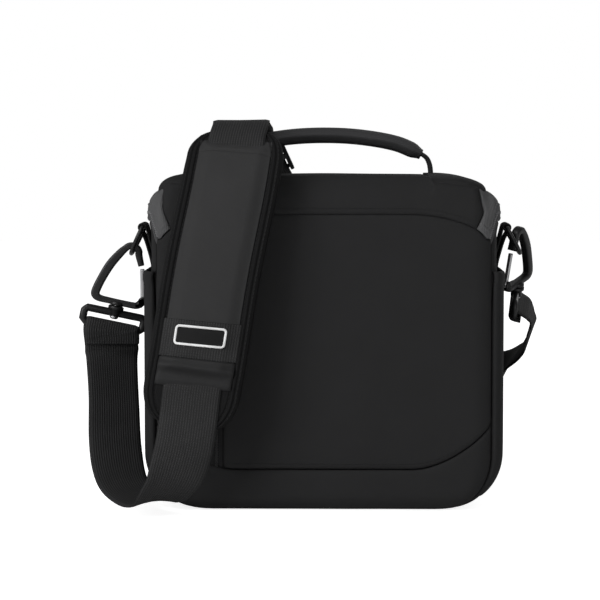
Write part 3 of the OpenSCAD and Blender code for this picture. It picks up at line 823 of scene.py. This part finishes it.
def make_lid_ends():
    """End strips of the lid's top; the right one sags more than the left."""
    inner_edge, strip_wide, thick = 70, 38, 5
    for name, sign, half, fall in (("left", -1, 111.0, 17), ("right", 1, 108.5, 33)):
        u, y = grid(close_ended(0, 1, 30, 0.08), close_ended(TOP_FRONT, TOP_BACK, 60, 5))
        reach = top_reach(y, half)
        x = inner_edge + (reach - inner_edge) * u
        z = top_height(y, reach - x, fall)
        z -= roll((1 - u) * strip_wide, 2.5, 1.0) + roll(y - TOP_FRONT, 3, 1.6) + roll(TOP_BACK - y, 2.5, 0.8)
        outer, inner = stacked(sign * x, y, z), stacked(sign * x, y, z - thick)
        strip = slab(f"{name}_lid_end_cloth", outer, inner, (x, y), SHELL)
        fit_padded(strip, "shell_fabric", "lid", "lid_panel")


def make_lid_saddle():
    """Raised middle of the lid's top."""
    half, front, level, crown, thick = 71.5, -70.2, 223.4, 0.4, 4.5
    x, y = grid(close_ended(-half, half, 60, 5), close_ended(front, TOP_BACK, 60, 5))
    back = roll(TOP_BACK - y, 30, 11.4)
    z = level + crown * (1 - (x / half) ** 2) - roll(half - np.abs(x), 4, 1.8) - back
    z -= roll(y - front, 6, 0.7)
    z += ripple(x, y, 0.15)
    saddle = slab("lid_saddle_cloth", stacked(x, y, z), stacked(x, y, z - thick), (x, y), SHELL)
    fit_padded(saddle, "shell_fabric", "lid", "lid_saddle")


def make_lid_lining():
    """Padded lining under the lid's top."""
    half, front, back, top, under = 103.5, -68, 58, 212.4, 209.8
    x, y = grid(close_ended(-half, half, 60, 5), close_ended(front, back, 44, 5))
    edge = np.minimum(half - np.abs(x), np.minimum(y - front, back - y))
    lower = under + roll(edge, 6, 1.8)
    lining = slab("lid_lining_cloth", stacked(x, y, 0 * x + top), stacked(x, y, lower), (x, y), LINING)
    fit_padded(lining, "lining_fabric", "lid", "lid_lining")


# Zips
def make_body_tape():
    """Lower zip tape along the rim of the case; its ends go under the front panels."""
    bend = np.linspace(ZIP_END, 124, 40)
    straight = np.linspace(125, 2 * HALF_ROUND - 125, 220)
    s, v = grid(np.concatenate([bend, straight, 2 * HALF_ROUND - bend[::-1]]), np.linspace(0, 1, 9))
    wide = tape_drop(s)
    z = rim(s) - wide * (1 - v) - 0.3
    tuck = 2.4 * (1 - ease(112.5, 116, around(s)))
    out = 0.55 - tuck - roll(v * wide, 1.2, 0.5) + ridge(v - 0.35, 0.12, 0.3)
    tape = slab("body_zip_cloth", skin(s, z, out), skin(s, z, out - 1.6), (s, z), TAPE)
    fit(tape, "zip_tape", "case", "body_zip_tape")


def tooth_row(name, places, low, high, body):
    """Half of the lid zip's coil, as a row of small bars across the rim."""
    slope = rim_slope(places)
    long = np.sqrt(1 + slope ** 2)
    radius = 0.45
    starts, ends = (skin(places - reach * slope / long, rim(places) + reach / long, radius)
                    for reach in (low, high))
    # The coil's light grey is partly a painted highlight.
    row = capsules(name, starts, ends, radius, COIL_AND_HIGHLIGHT)
    fit(row, "zip_tape", body)
    return row


def make_lid_teeth():
    """Coil of the lid zip, evenly spaced along the rim; the upper half gets no body."""
    fine = np.linspace(ZIP_END + 1, 2 * HALF_ROUND - ZIP_END - 1, 4000)
    along = lengths(np.stack([fine, rim(fine)], -1))
    pitch = 0.8
    places = np.interp(np.arange(0, along[-1], pitch), along, fine)
    tooth_row("body_zip_teeth", places[::2], -0.9, 0.4, "case")
    blend_flap(tooth_row("lid_zip_teeth", places[1::2], -0.2, 1.1, None))


def make_pocket_zip():
    """Upright zip of the front pocket, set back between its two panels."""
    foot, top = 29, 193
    parts = []
    for near, far in ((-4.4, -0.5), (0.5, 4.4)):
        x, z = grid(np.linspace(ZIP_X + near, ZIP_X + far, 7), np.linspace(foot, top, 80))
        lift = ridge(np.abs(x - ZIP_X) - 2.6, 0.35, 0.35)
        front = stacked(x, FRONT_Y + 1.9 - lift, z)
        back = stacked(x, FRONT_Y + 3.6, z)
        parts.append(slab("tape half", front, back, (x, z), DARK_TAPE))
    tape = merged("pocket_zip_cloth", parts)
    fit(tape, "zip_tape", "case", "pocket_zip_tape")
    half, pitch = 1.1, 1.1
    starts = stacked(ZIP_X - half, FRONT_Y + 1.7, np.arange(foot + 1, top - 1, pitch))
    teeth = capsules("pocket_zip_teeth", starts, starts + [2 * half, 0, 0], 0.42, TEETH)
    fit(teeth, "zip_tape", "case")


def make_pull(name, place, face):
    """Pull tab hanging from a slider's bar: an eye, a neck and a moulded grip."""
    place = np.array(place, float)
    out = np.array([0, face, 0.0])
    eye = [(1.9, 1.0, 0.9), (1.2, 2.0, 1.7), (-1.6, 2.3, 1.5)]
    neck = [(-4, 1.7, 0.8), (-8, 2.1, 0.9)]
    tab = [(-11, 2.5, 1.1), (-20, 2.5, 1.1), (-26, 2.3, 1.0), (-27.8, 1.4, 0.6)]
    rings = []
    for z, half, thick in eye + neck + tab:
        section = rounded_bar(half, thick, min(half, thick) * 0.7)
        rings.append(place + section[:, :1] * [1, 0, 0] + section[:, 1:] * out + [0, 0, z])
    pull = loft(f"{name}_form", rings, PLASTIC)
    fit(pull, "pull_plastic", name, name)


def make_pulls():
    """Pulls of the two lid sliders and of the pocket slider."""
    behind, high = 79.9, 200.5
    make_pull("left_lid_pull", (-74, behind, high), 1)
    make_pull("right_lid_pull", (-62, behind, high), 1)
    make_pull("pocket_pull", (ZIP_X, -82.0, 178), -1)


# Handle
BACKWARD = np.array([0, 1.0, 0])


def grip_section(end):
    """Section of the grip: a crowned top and an undercut lower half that meet in a sewn ridge."""
    half, rise, drop, undercut = 15, 5.3, 5.6, 3.5
    angle = np.linspace(0, 2 * math.pi, 49)[:-1]
    c, d = np.cos(angle), np.sin(angle)
    high = np.where(d > 0, rise * np.abs(d) ** 0.9, -drop * np.abs(d) ** 0.6)
    under = np.clip(-high / drop, 0, 1)
    wide = np.sign(c) * (half - undercut * under) * np.abs(c) ** np.where(d > 0, 0.7, 0.4)
    seam = ridge(high, 0.7, 0.8) * np.sign(wide)
    return np.stack([(wide + seam) * (1 - 0.15 * end), high * (1 - 0.35 * end)], -1)


def make_handle():
    """Padded grip with a crowned top, and the webbing that it is sewn to."""
    route = smooth_route([(-67, 0, 237.5), (-50, 0, 245), (-25, 0, 249.5), (0, 0, 250.8), (25, 0, 249.5),
                          (50, 0, 245), (67, 0, 237.5)], 8)
    sections = [grip_section(float(ease(58, 67, abs(x))) ** 2) for x in route[:, 0]]
    grip = loft("handle_grip_cloth", carried(route, BACKWARD, sections), GRIP)
    fit_padded(grip, "grip_fabric", "handle", "handle_grip")
    for name, side in (("left", -1), ("right", 1)):
        line = [(73.8, 219.5), (73.6, 226), (72.6, 231.5), (69.8, 236), (62, 240.5)]
        p = smooth_route([(side * x, 0, z) for x, z in line], 6)
        half = 13
        strap = loft(f"{name}_handle_webbing", carried(p, BACKWARD, ribbon_section(half, 2.8)), WEBBING)
        fit_sheet(strap, "webbing", None, f"{name}_handle_strap")
        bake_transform(strap)


# Snap hooks: the place of each swivel, the directions along its base and up, and that of the strap loop's bar
LEFT_UP = unit([0.225, 0, 0.974])
RIGHT_UP = unit([0.02, -0.35, 0.937])
HOOKS = {
    "left": (np.array([-145.81, 0, 129.942]), square_to([0.974, 0, -0.225], LEFT_UP), LEFT_UP,
             square_to([0.94, 0.25, -0.2], LEFT_UP)),
    "right": (np.array([135.422, 20.7618, 142.83]), square_to([-0.5, -0.866, 0], RIGHT_UP), RIGHT_UP,
              square_to([-0.1, -0.95, 0], RIGHT_UP)),
}

# How far below the swivel the loop's lower bar lies
LOOP_BAR_DROP = 13

# D-rings: where the straight bar of each lies, and how many degrees it hangs out from upright
RING_Z = 187.0
RINGS = {"left": (-126.0, 25.0), "right": (126.0, -29.0)}


def in_frame(points, origin, along, up):
    """Carries local points (along, up, out) into the object's frame."""
    points = np.asarray(points, float)
    out = np.cross(along, up)
    return origin + points[..., :1] * along + points[..., 1:2] * up + points[..., 2:] * out


def local_tube(line, thick, radius):
    """Rings of a round-edged bar along a line in the plane of a hook, given as places and half widths."""
    p = np.column_stack([line[:, :2], np.zeros(len(line))])
    sections = [rounded_bar(half, thick, radius) for half in line[:, 2]]
    return carried(p, np.cross([0, 0, 1.0], tangents(p)), sections)


def wire_loop(path, half_widths, half_thick):
    """Rings of a round wire along a closed path in a plane, with its half width there at each point."""
    rings = []
    for place, ahead, half in zip(path, loop_tangents(path), half_widths):
        side = np.array([-ahead[1], ahead[0]])
        rings.append([(*(place + x * side), z) for x, z in circle(1.0, 14) * [half, half_thick]])
    return rings


def disc(centre, radius, low, high, chamfer):
    """Short round boss standing across the plane of a hook, with eased edges."""
    rings = []
    sides = 24
    small = radius - chamfer
    for z, r in ((low, small), (low + chamfer, radius), (high - chamfer, radius), (high, small)):
        ring = circle(r, sides) + centre
        rings.append(np.column_stack([ring, np.full(sides, z)]))
    return np.array(rings)


def turned(stations):
    """Rings of a turned boss about the swivel's axis, from pairs of radius and height."""
    return [[(x, height, z) for x, z in circle(radius, 28)] for radius, height in stations]


def make_hook(name):
    """Snap hook: a flat bar bent into a bow, with two cheeks for the gate and a collar for the swivel."""
    origin, along, up, _ = HOOKS[name]
    base = [(16.2, 6.6, 2.2), (13.4, 5.0, 2.2), (6, 4.6, 2.1), (-6, 4.5, 2.1), (-12.4, 4.6, 2.3)]
    spine = [(-15.4, 5.9, 2.8), (-16.4, 8.9, 3.0), (-14.2, 18.5, 3.0), (-10.4, 29.5, 3.1), (-5.4, 38.6, 2.8)]
    turns = np.radians(np.arange(150, -1, -25))
    bow_x, bow_y, bow_radius = 2.2, 40, 5.4
    bow = [(bow_x + bow_radius * math.cos(a), bow_y + bow_radius * math.sin(a), 2.4) for a in turns]
    nose = [(10.9, 33.0, 2.0)]
    forms = [local_tube(smooth_route(base + spine + bow + nose, 5), 2.9, 1.3)]
    web = [(13.6, 3.2), (17.6, 4.6), (19.9, 8.4), (17.2, 11.2), (14.4, 9.6), (12.4, 6.8)]
    for low, high in ((-2.9, -1.45), (1.45, 2.9)):
        forms.append(disc((17.2, 9.0), 3.1, low, high, 0.35))
        forms.append([[(x, y, z) for x, y in web] for z in (low, low + 0.3, high - 0.3, high)])
    forms.append(turned([(4.6, 2.3), (5.2, 2.7), (5.2, 4.4), (3.4, 5.4)]))
    parts = [loft("hook part", in_frame(form, origin, along, up), COATED) for form in forms]
    fit(merged(f"{name}_hook_form", parts), "hook_metal", f"{name}_hook", f"{name}_hook")


def make_gate(name):
    """Sprung gate of a snap hook, with the eye for its pin."""
    origin, along, up, _ = HOOKS[name]
    half, thick = 1.5, 1.25
    line = [(17.3, 9.2, half), (16.3, 13, half), (14.6, 20, half), (12.8, 27.4, half), (11.9, 31.1, half)]
    forms = [local_tube(smooth_route(line, 4), thick, 0.5), disc((17.4, 9.5), 2.35, -thick, thick, 0.3)]
    parts = [loft("gate part", in_frame(form, origin, along, up), STEEL) for form in forms]
    fit(merged(f"{name}_gate_form", parts), "bright_steel", f"{name}_gate", f"{name}_gate")


def make_loop(name):
    """Flat loop under the swivel: a round frame for the webbing, thinner below, and a boss for the stud."""
    origin, _, up, along = HOOKS[name]
    wide, top, foot, cut = 21.4, -3.1, -LOOP_BAR_DROP, 2.0
    right = [(wide - cut, top), (wide, top - 2.1), (wide, foot + 2.1), (wide - cut, foot)]
    left = [(-x, z) for x, z in right]
    corners = np.array([left[1], left[0], *right, left[3], left[2], left[1]])
    path = []
    for a, b in zip(corners[:-1], corners[1:]):
        count = max(2, int(np.linalg.norm(b - a) / 2.5))
        path.extend(a + (b - a) * t for t in np.arange(count) / count)
    path = np.array(path)
    wire = wire_loop(path, np.where(path[:, 1] < -11, 2.2, 2.7), 2.2)
    boss = turned([(2.0, -7.4), (2.7, -6.9), (2.8, -5.6), (3.9, -5.2), (4.0, -1.0), (5.4, -0.5), (5.5, 1.3),
                   (4.6, 1.9)])
    parts = [loft("loop frame", in_frame(wire, origin, along, up), COATED, closed=True),
             loft("boss", in_frame(boss, origin, along, up), COATED)]
    fit(merged(f"{name}_strap_loop_form", parts), "hook_metal", f"{name}_strap_end", f"{name}_strap_loop")


def make_ring(name):
    """D-ring of round wire hanging from its tab."""
    place, hang = RINGS[name]
    bow, wire = 14.5, 1.5
    line = [(y, 0.0) for y in np.linspace(-bow, bow, 20)]
    line += [(bow, -d) for d in (1.5, 3, 4.5)]
    line += [(bow * math.cos(a), -6 - bow * math.sin(a)) for a in np.linspace(0, math.pi, 25)]
    line += [(-bow, -d) for d in (4.5, 3, 1.5)]
    up = np.array([math.sin(math.radians(hang)), 0, math.cos(math.radians(hang))])
    rings = wire_loop(np.array(line), [wire] * len(line), wire)
    ring = loft(f"{name}_ring_form", in_frame(rings, (place, 0, RING_Z), BACKWARD, up), COATED, closed=True)
    fit(ring, "hook_metal", f"{name}_strap_end", f"{name}_ring")


def make_tab(name):
    """Webbing tab folded round the bar of a ring and sewn to the wall."""
    place, _ = RINGS[name]
    sign = np.sign(place)
    half, turn = 12.5, 2.5
    bend = np.radians(np.arange(165, -46, -30))
    line = [(116.4, 152), (117.2, 160.6), (118.8, 170), (121.8, 181)]
    line += [(abs(place) + turn * math.cos(a), RING_Z + turn * math.sin(a)) for a in bend]
    line += [(124.6, 179.5), (121.9, 171), (119.6, 162), (118.4, 152)]
    p = smooth_route([(sign * x, 0, z) for x, z in line], 4)
    tab = loft(f"{name}_tab_webbing", carried(p, BACKWARD, ribbon_section(half, 1.6)), WEBBING)
    fit_sheet(tab, "webbing", "case", f"{name}_tab")


# Shoulder strap
WEB_HALF = 19.0
WEB_T = 1.8
RINGS_PER_STOP = 8


def strap_stops():
    """Place on the strap's route and direction across it at each stop, from left loop to right loop."""
    left, _, left_up, left_along = HOOKS["left"]
    right, _, right_up, right_along = HOOKS["right"]
    bar_radius, slack = 2, 0.4
    left_bar, right_bar = left - LOOP_BAR_DROP * left_up, right - LOOP_BAR_DROP * right_up
    left_out, right_out = np.cross(left_along, left_up), np.cross(right_along, right_up)
    turn = bar_radius + slack + WEB_T / 2
    down = np.array([0, 0, -1.0])
    left_turns = [(-3, turn), (2.3, 2.3), (turn, 0), (2.3, -2.3), (-3, -turn)]
    right_turns = [(-8.6, -12), (-2.6, -9.6), (0.8, -4.8), (2.6, -2.4), (turn, 0), (2.3, 2.3), (0, turn)]
    right_turns += [(-2.5, 2.6), (-3.8, -0.2), (-4.6, -4.5)]
    stops = [(left_bar + a * down + b * left_out, left_along) for a, b in ((12, 1.9), (7.5, 2.6))]
    stops += [(left_bar + a * left_up + b * left_out, left_along) for a, b in left_turns]
    stops += [
        (left_bar + 14 * down - 0.6 * left_out, left_along),
        (left_bar + 24 * down + 0.4 * left_out, (0.9, 0.4, -0.15)),
        ((-146, -14, 66), (0.85, 0.52, -0.04)),
        ((-143, -37, 40), (0.84, 0.54, 0)),
        ((-137, -65, 22), (0.8, 0.6, 0)),
        ((-126.5, -89, 13), (0.86, 0.5, 0.02)),
        ((-111.5, -101.5, 11), (0.95, 0.28, 0.1)),
        ((-99.5, -108.5, 22), (0.93, 0.3, 0.15)),
        ((-92, -112, 42), (0.98, 0.05, 0.17)),
        ((-88.5, -112.5, 61), (0.98, 0, 0.18)),
        ((-85.5, -111.5, 85), (0.98, 0, 0.18)),
        ((-82, -110, 104.5), (0.98, 0, 0.18)),
        ((-78, -108.3, 130), (0.98, 0, 0.18)),
        ((-74.5, -106.6, 152), (0.98, 0, 0.17)),
        ((-70.5, -104.6, 174), (0.98, 0, 0.17)),
        ((-66, -102, 196), (0.98, 0, 0.17)),
        ((-62, -98.5, 216), (0.98, 0, 0.15)),
        ((-59, -93, 234), (0.98, 0, 0.13)),
        ((-57, -83, 249), (0.99, 0, 0.1)),
        ((-55, -66, 258.5), (1, 0, 0.05)),
        ((-56, -40, 260), (1, 0.05, 0)),
        ((-57, 0, 259.5), (1, 0.08, 0)),
        ((-56.5, 45, 255.5), (1, 0.1, 0.05)),
        ((-54.5, 75.5, 244.5), (0.9, 0.05, 0.42)),
        ((-48, 86.5, 228.5), (0.86, 0, 0.51)),
        ((-39.5, 95.5, 211), (0.845, 0, 0.536)),
        ((-18, 99, 177), (0.82, 0, 0.57)),
        ((8, 99, 139), (0.78, 0.05, 0.62)),
        ((38, 99, 98), (0.7, 0.15, 0.7)),
        ((73, 98, 72), (0.4, 0.3, 0.87)),
        ((106.5, 95.5, 72), (-0.3, 0.31, 0.9)),
        ((127, 84.5, 75), (0.24, 0.33, 0.91)),
        ((136.1, 55, 90.2), (0.29, 0.93, 0.23)),
        ((145.6, 33.7, 107.9), (0.34, 0.55, 0.76)),
    ]
    stops += [(right_bar + a * right_up + b * right_out, -right_along) for a, b in right_turns]
    return stops


STOPS = strap_stops()
ROUTE = smooth_route([s[0] for s in STOPS], RINGS_PER_STOP)
ACROSS = smooth_route([s[1] for s in STOPS], RINGS_PER_STOP)
PAD_FIRST = 16 * RINGS_PER_STOP
PAD_LAST = PAD_FIRST + 9 * RINGS_PER_STOP
STRAP_CUT = PAD_FIRST + 4 * RINGS_PER_STOP
STRAP_SPLIT = PAD_LAST + 11 * RINGS_PER_STOP
BUCKLE_AT = PAD_LAST + 6 * RINGS_PER_STOP


def make_webbing():
    """Three lengths of the strap's webbing, which share one route; none gets a body."""
    rings = carried(ROUTE, ACROSS, ribbon_section(WEB_HALF, WEB_T))
    spans = {
        "strap_front_webbing": (0, STRAP_CUT, "hung", "left_strap_loop"),
        "strap_over_webbing": (STRAP_CUT, STRAP_SPLIT, "draped", "handle_grip"),
        "strap_end_webbing": (STRAP_SPLIT, len(ROUTE) - 1, "hung", "right_strap_loop"),
    }
    for node, (first, last, held, on) in spans.items():
        strap = loft(f"{node}_cloth", rings[first:last + 1], WEBBING)
        fit_sheet(strap, "webbing", None, node)
        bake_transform(strap)


def make_adjuster():
    """Slide buckle on the strap behind the lid: two posts, two outer bars and a middle bar."""
    ahead = tangents(ROUTE)[BUCKLE_AT]
    side = square_to(ACROSS[BUCKLE_AT], ahead)
    post_ends = ((-12.8, 0.6), (-12.2, 0.9), (-10, 1), (10, 1), (12.2, 0.9), (12.8, 0.6))
    bars = []
    edge = 0.9
    for x in (-21.2, 21.2):
        line = np.array([(x, y, 0) for y, _ in post_ends])
        sections = [rounded_bar(1.5, 4.1, edge) * size for _, size in post_ends]
        bars.append(carried(line, (1.0, 0, 0), sections))
    for y, z, half in ((-11.5, 3, 1.5), (11.5, 3, 1.5), (0, -3, 2.0)):
        line = np.array([(x, y, z) for x in (-21.0, 0, 21)])
        bars.append(carried(line, (0, 1.0, 0), rounded_bar(half, 1.2, edge)))
    parts = [loft("buckle bar", in_frame(bar, ROUTE[BUCKLE_AT], side, ahead), PLASTIC) for bar in bars]
    fit(merged("strap_adjuster_form", parts), "pull_plastic", "strap_adjuster", "strap_adjuster")


# Shoulder pad: distance along the strap from the pad's lower end, and places on the pad measured that way
PAD_HALF = 32.0
PAD_T = 9.6
PAD_END = 24
STRAP_AT = lengths(ROUTE) - lengths(ROUTE)[PAD_FIRST]
PAD_LONG = STRAP_AT[PAD_LAST] + 8.5
PANEL_HALF = 24.0
PANEL_LOW = 31.0
PANEL_SEAM = 183.0
PANEL_TOP = 192.7
BAND_SLOPE = 0.06
LABEL_SHIFT = -0.2
LABEL_MIDDLE = 59.6


def on_strap(along, across, depth):
    """Point some way along the strap from the pad's lower end, across it and in depth behind its middle."""
    t = tangents(ROUTE)
    side = square_to(ACROSS, t)
    back = np.cross(t, side)
    place, sideways, behind = (points_at(along, STRAP_AT, field) for field in (ROUTE, side, back))
    return place + np.asarray(across)[..., None] * sideways + np.asarray(depth)[..., None] * behind


def pad_half(along):
    """Half width of the pad, with its round ends."""
    t = np.clip(1 - np.minimum(along, PAD_LONG - along) / PAD_END, 0, 1)
    return PAD_HALF * (0.5 + 0.5 * np.sqrt(1 - t * t))


def pad_front(across, along):
    """How far the pad's front lies behind the webbing's middle: bound edges and a padded centre panel."""
    outer_seam, welt, inner_seam = 4.0, 5.7, 7.4
    edge = pad_half(along) - np.abs(across)
    bound = 0.6 + roll(edge, 3.4, 4.2) + ridge(edge - outer_seam, 0.5, 0.9)
    bound += ridge(edge - inner_seam, 0.6, 0.9) - ridge(edge - welt, 1.0, 0.5)
    inside = np.minimum(PANEL_HALF - np.abs(across), np.minimum(along - PANEL_LOW, PANEL_TOP - along))
    lift = 2.8 * ease(0, 9, inside) + 1.2 * ease(0, 22, np.minimum(inside, np.abs(along - PANEL_SEAM)))
    seam = ridge(along - PANEL_SEAM, 0.6, 0.7) * (inside > 0)
    return bound - lift + seam + 0.25 * np.sin(along / 13) * np.sin(across / 9 + 0.5)


def make_pad():
    """Shoulder pad with bound edges and a padded centre panel, its bands, label and stitching."""
    edge = np.linspace(0.62, 1, 30)
    u = np.concatenate([-edge[::-1], np.linspace(-0.6, 0.6, 25), edge])
    middle = np.linspace(PAD_END + 1, 178, 80)
    along = np.concatenate([np.linspace(0, PAD_END, 24), middle, np.linspace(179, PAD_LONG, 40)])
    along, u = grid(along, u)
    across = pad_half(along) * u
    back = PAD_T - roll(pad_half(along) - np.abs(across), 4, 4.2)
    outer = on_strap(along, across, pad_front(across, along))
    pad = slab("shoulder_pad_cloth", outer, on_strap(along, across, back), (across, along), PAD)
    # Darker cloth for the binding and back: partly painted shade.
    pad.data.materials.append(PAD_BINDING_AND_SHADE)
    centre = (np.abs(across) < PANEL_HALF) & (along > PANEL_LOW) & (along < PANEL_TOP)
    paint_pad_edges(pad, np.concatenate([centre.ravel(), np.zeros(centre.size, bool)]))
    fit_padded(pad, "pad_fabric", None, "shoulder_pad", "pad_cover")
    blend_pad(pad)
    line = np.linspace(6, PAD_LONG - 6, 150)
    for inset, place in ((2.6, "outer"), (7.4, "inner")):
        for sign, side in ((-1, "left"), (1, "right")):
            across = sign * (pad_half(line) - inset)
            path = on_strap(line, across, pad_front(across, line) - 0.15)
            blend_pad(sewn_row(f"pad_stitch_{side}_{place}", path, None, "pad_fabric"))
    make_pad_bands()


def paint_pad_edges(pad, centre):
    """Gives the bound edges and the back of the pad a darker cloth: partly the binding's own colour, partly
    painted shade over the rolled edges.
    """
    for face in pad.data.polygons:
        face.material_index = 0 if all(centre[v] for v in face.vertices) else 1


def blend_pad(piece):
    """The pad lies over the lid; this only bakes a piece's placement into its mesh, and it gets no body."""
    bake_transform(piece)


def band_on_pad(name, span, half, lift, thick, material, shift=0.0, bulge=0.0):
    """Band sewn across the front of the pad between two distances along it."""
    v, across = grid(close_ended(0, 1, 16, 0.12), np.linspace(-half, half, 31))
    wide = span[1] - span[0]
    level = span[0] + wide * v
    along = level + BAND_SLOPE * across
    depth = pad_front(across + shift, along) - lift
    depth += roll(np.minimum(v, 1 - v) * wide, 1.6, 0.7) + roll(half - np.abs(across), 1.6, 0.6)
    fold = bulge * (ridge(v - 0.68, 0.15, 1) + ridge(v - 0.2, 0.15, 0.5))
    outer = on_strap(along, across + shift, depth - fold)
    inner = on_strap(along, across + shift, depth + thick)
    return slab(name, outer, inner, (across, level), material)


def make_pad_bands():
    """Webbing band with a blank label, and the folded keeper that the strap comes out of."""
    band = band_on_pad("pad_label_band_cloth", (44.5, 69.5), 25.5, 0.9, 1.3, WEBBING)
    fit_sheet(band, "webbing", None, "pad_label_band")
    label = band_on_pad("pad_label_patch", (52.8, 66.4), 16.8, 1.6, 0.8, LABEL, shift=LABEL_SHIFT)
    fit(label, "label_patch", None, "pad_label")
    border = label_border()
    fit(border, "label_patch", None)
    keeper = band_on_pad("pad_keeper_cloth", (26.0, 44.2), 25, 0.9, 1.5, KEEPER, bulge=2.4)
    fit_sheet(keeper, "grip_fabric", None, "pad_keeper")
    for piece in (band, label, border, keeper):
        blend_pad(piece)


def evenly(loop, step):
    """Points a step apart along a closed loop."""
    closed = np.vstack([loop, loop[:1]])
    along = lengths(closed)
    places = np.linspace(0, along[-1], int(along[-1] / step) + 1)[:-1]
    return points_at(places, along, closed)


def label_border():
    """Plain pale line round the blank label."""
    middle = evenly(rounded_bar(16.2, 5.9, 2.0, 7), 0.7)
    ahead = loop_tangents(middle)
    aside = np.stack([ahead[:, 1], -ahead[:, 0]], -1)
    loops = []
    half, low, high = 0.75, 1.4, 1.95
    for grow, lift in ((half, low), (half, high), (-half, high), (-half, low)):
        loop = middle + grow * aside
        across = loop[:, 0] + LABEL_SHIFT
        along = LABEL_MIDDLE + loop[:, 1] + BAND_SLOPE * loop[:, 0]
        loops.append(on_strap(along, across, pad_front(across, along) - lift))
    return loft("pad_label_border", np.stack(loops, axis=1), LABEL_EDGE, closed=True)


# Stage, light and camera
def make_stage():
    """Pale floor and even studio light."""
    bpy.ops.mesh.primitive_plane_add(size=8, location=(0, 0, -0.0005))
    floor = bpy.context.object
    floor.name = "floor"
    material, tree, bsdf = shader("floor")
    bsdf.inputs["Base Color"].default_value = (0.9, 0.9, 0.9, 1)
    bsdf.inputs["Roughness"].default_value = 0.9
    floor.data.materials.append(material)
    white_to_camera(tree, bsdf)
    world = bpy.data.worlds.new("studio")
    bpy.context.scene.world = world
    world.use_nodes = True
    sky = world.node_tree.nodes["Background"]
    sky.inputs["Color"].default_value = (1, 1, 1, 1)
    lit = world.node_tree.nodes.new("ShaderNodeMapRange")
    lit.inputs["To Min"].default_value = 0.2
    lit.inputs["To Max"].default_value = 1.0
    seen = seen_directly(world.node_tree)
    world.node_tree.links.new(seen, lit.inputs["Value"])
    world.node_tree.links.new(lit.outputs["Result"], sky.inputs["Strength"])


def seen_directly(tree):
    """1 for the rays that the camera sees first, 0 for the rest."""
    return tree.nodes.new("ShaderNodeLightPath").outputs["Is Camera Ray"]


def white_to_camera(tree, bsdf):
    """Adds enough glow to the floor for it to read as white, and keeps its shadows."""
    glow = combined(tree, "MULTIPLY", seen_directly(tree), 0.85)
    bsdf.inputs["Emission Color"].default_value = (1, 1, 1, 1)
    tree.links.new(glow, bsdf.inputs["Emission Strength"])


def area_light(name, place, target, size, power):
    """Soft lamp that faces a target."""
    data = bpy.data.lights.new(name, "AREA")
    data.shape = "RECTANGLE"
    data.size, data.size_y = size
    data.energy = power
    lamp = bpy.data.objects.new(name, data)
    bpy.context.collection.objects.link(lamp)
    lamp.location = place
    lamp.rotation_euler = look_at(place, target)


def look_at(place, target):
    """Rotation that faces a target."""
    return (Vector(target) - Vector(place)).to_track_quat("-Z", "Y").to_euler()


def make_lights():
    """Large soft lamps: left front, right front, above and behind."""
    area_light("key", (-1.4, -1.3, 0.75), (0, 0, 0.12), (0.9, 0.9), 18)
    area_light("fill", (0.9, -1.7, 0.5), (0, 0, 0.12), (0.9, 0.9), 7)
    area_light("top", (-0.7, -0.9, 1.6), (0, 0, 0.2), (1.0, 0.8), 9)
    area_light("back", (1.0, 1.9, 0.9), (0, 0, 0.12), (1.2, 1.2), 7)


def make_camera():
    """Camera at the photograph's angle: a little above the case and almost in front of it."""
    data = bpy.data.cameras.new("camera")
    data.lens = 135.8
    data.sensor_width = 36
    camera = bpy.data.objects.new("camera", data)
    bpy.context.collection.objects.link(camera)
    target = np.array([-0.017, 0, 0.136])
    up, turn, distance = math.radians(4), math.radians(1), 1.58
    step = np.array([math.sin(turn) * math.cos(up), -math.cos(turn) * math.cos(up), math.sin(up)])
    camera.location = target + distance * step
    camera.rotation_euler = look_at(camera.location, target)
    bpy.context.scene.camera = camera


def paint_cad_nodes():
    """Hard pieces that keep their shape get their finished materials."""
    finishes = {
        "left_hook_stud": STEEL, "right_hook_stud": STEEL, "left_gate_pin": STEEL, "right_gate_pin": STEEL,
        "left_lid_slider": SLIDER, "right_lid_slider": SLIDER, "pocket_slider": SLIDER,
    }
    for node, material in finishes.items():
        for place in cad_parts[node].material_slots:
            place.material = material


make_camera()
make_stage()
make_lights()
make_webbing()
make_pad()
make_case()
make_side_pockets()
make_lining()
make_divider()
make_board()
make_flap()
make_gusset()
make_lid_ends()
make_lid_saddle()
make_lid_lining()
make_body_tape()
make_lid_teeth()
make_pocket_zip()
make_pulls()
make_handle()
for side_name in HOOKS:
    make_ring(side_name)
    make_hook(side_name)
    make_gate(side_name)
    make_loop(side_name)
    make_tab(side_name)
make_adjuster()
paint_cad_nodes()
bpy.context.scene.view_settings.view_transform = "Standard"
bpy.context.view_layer.update()
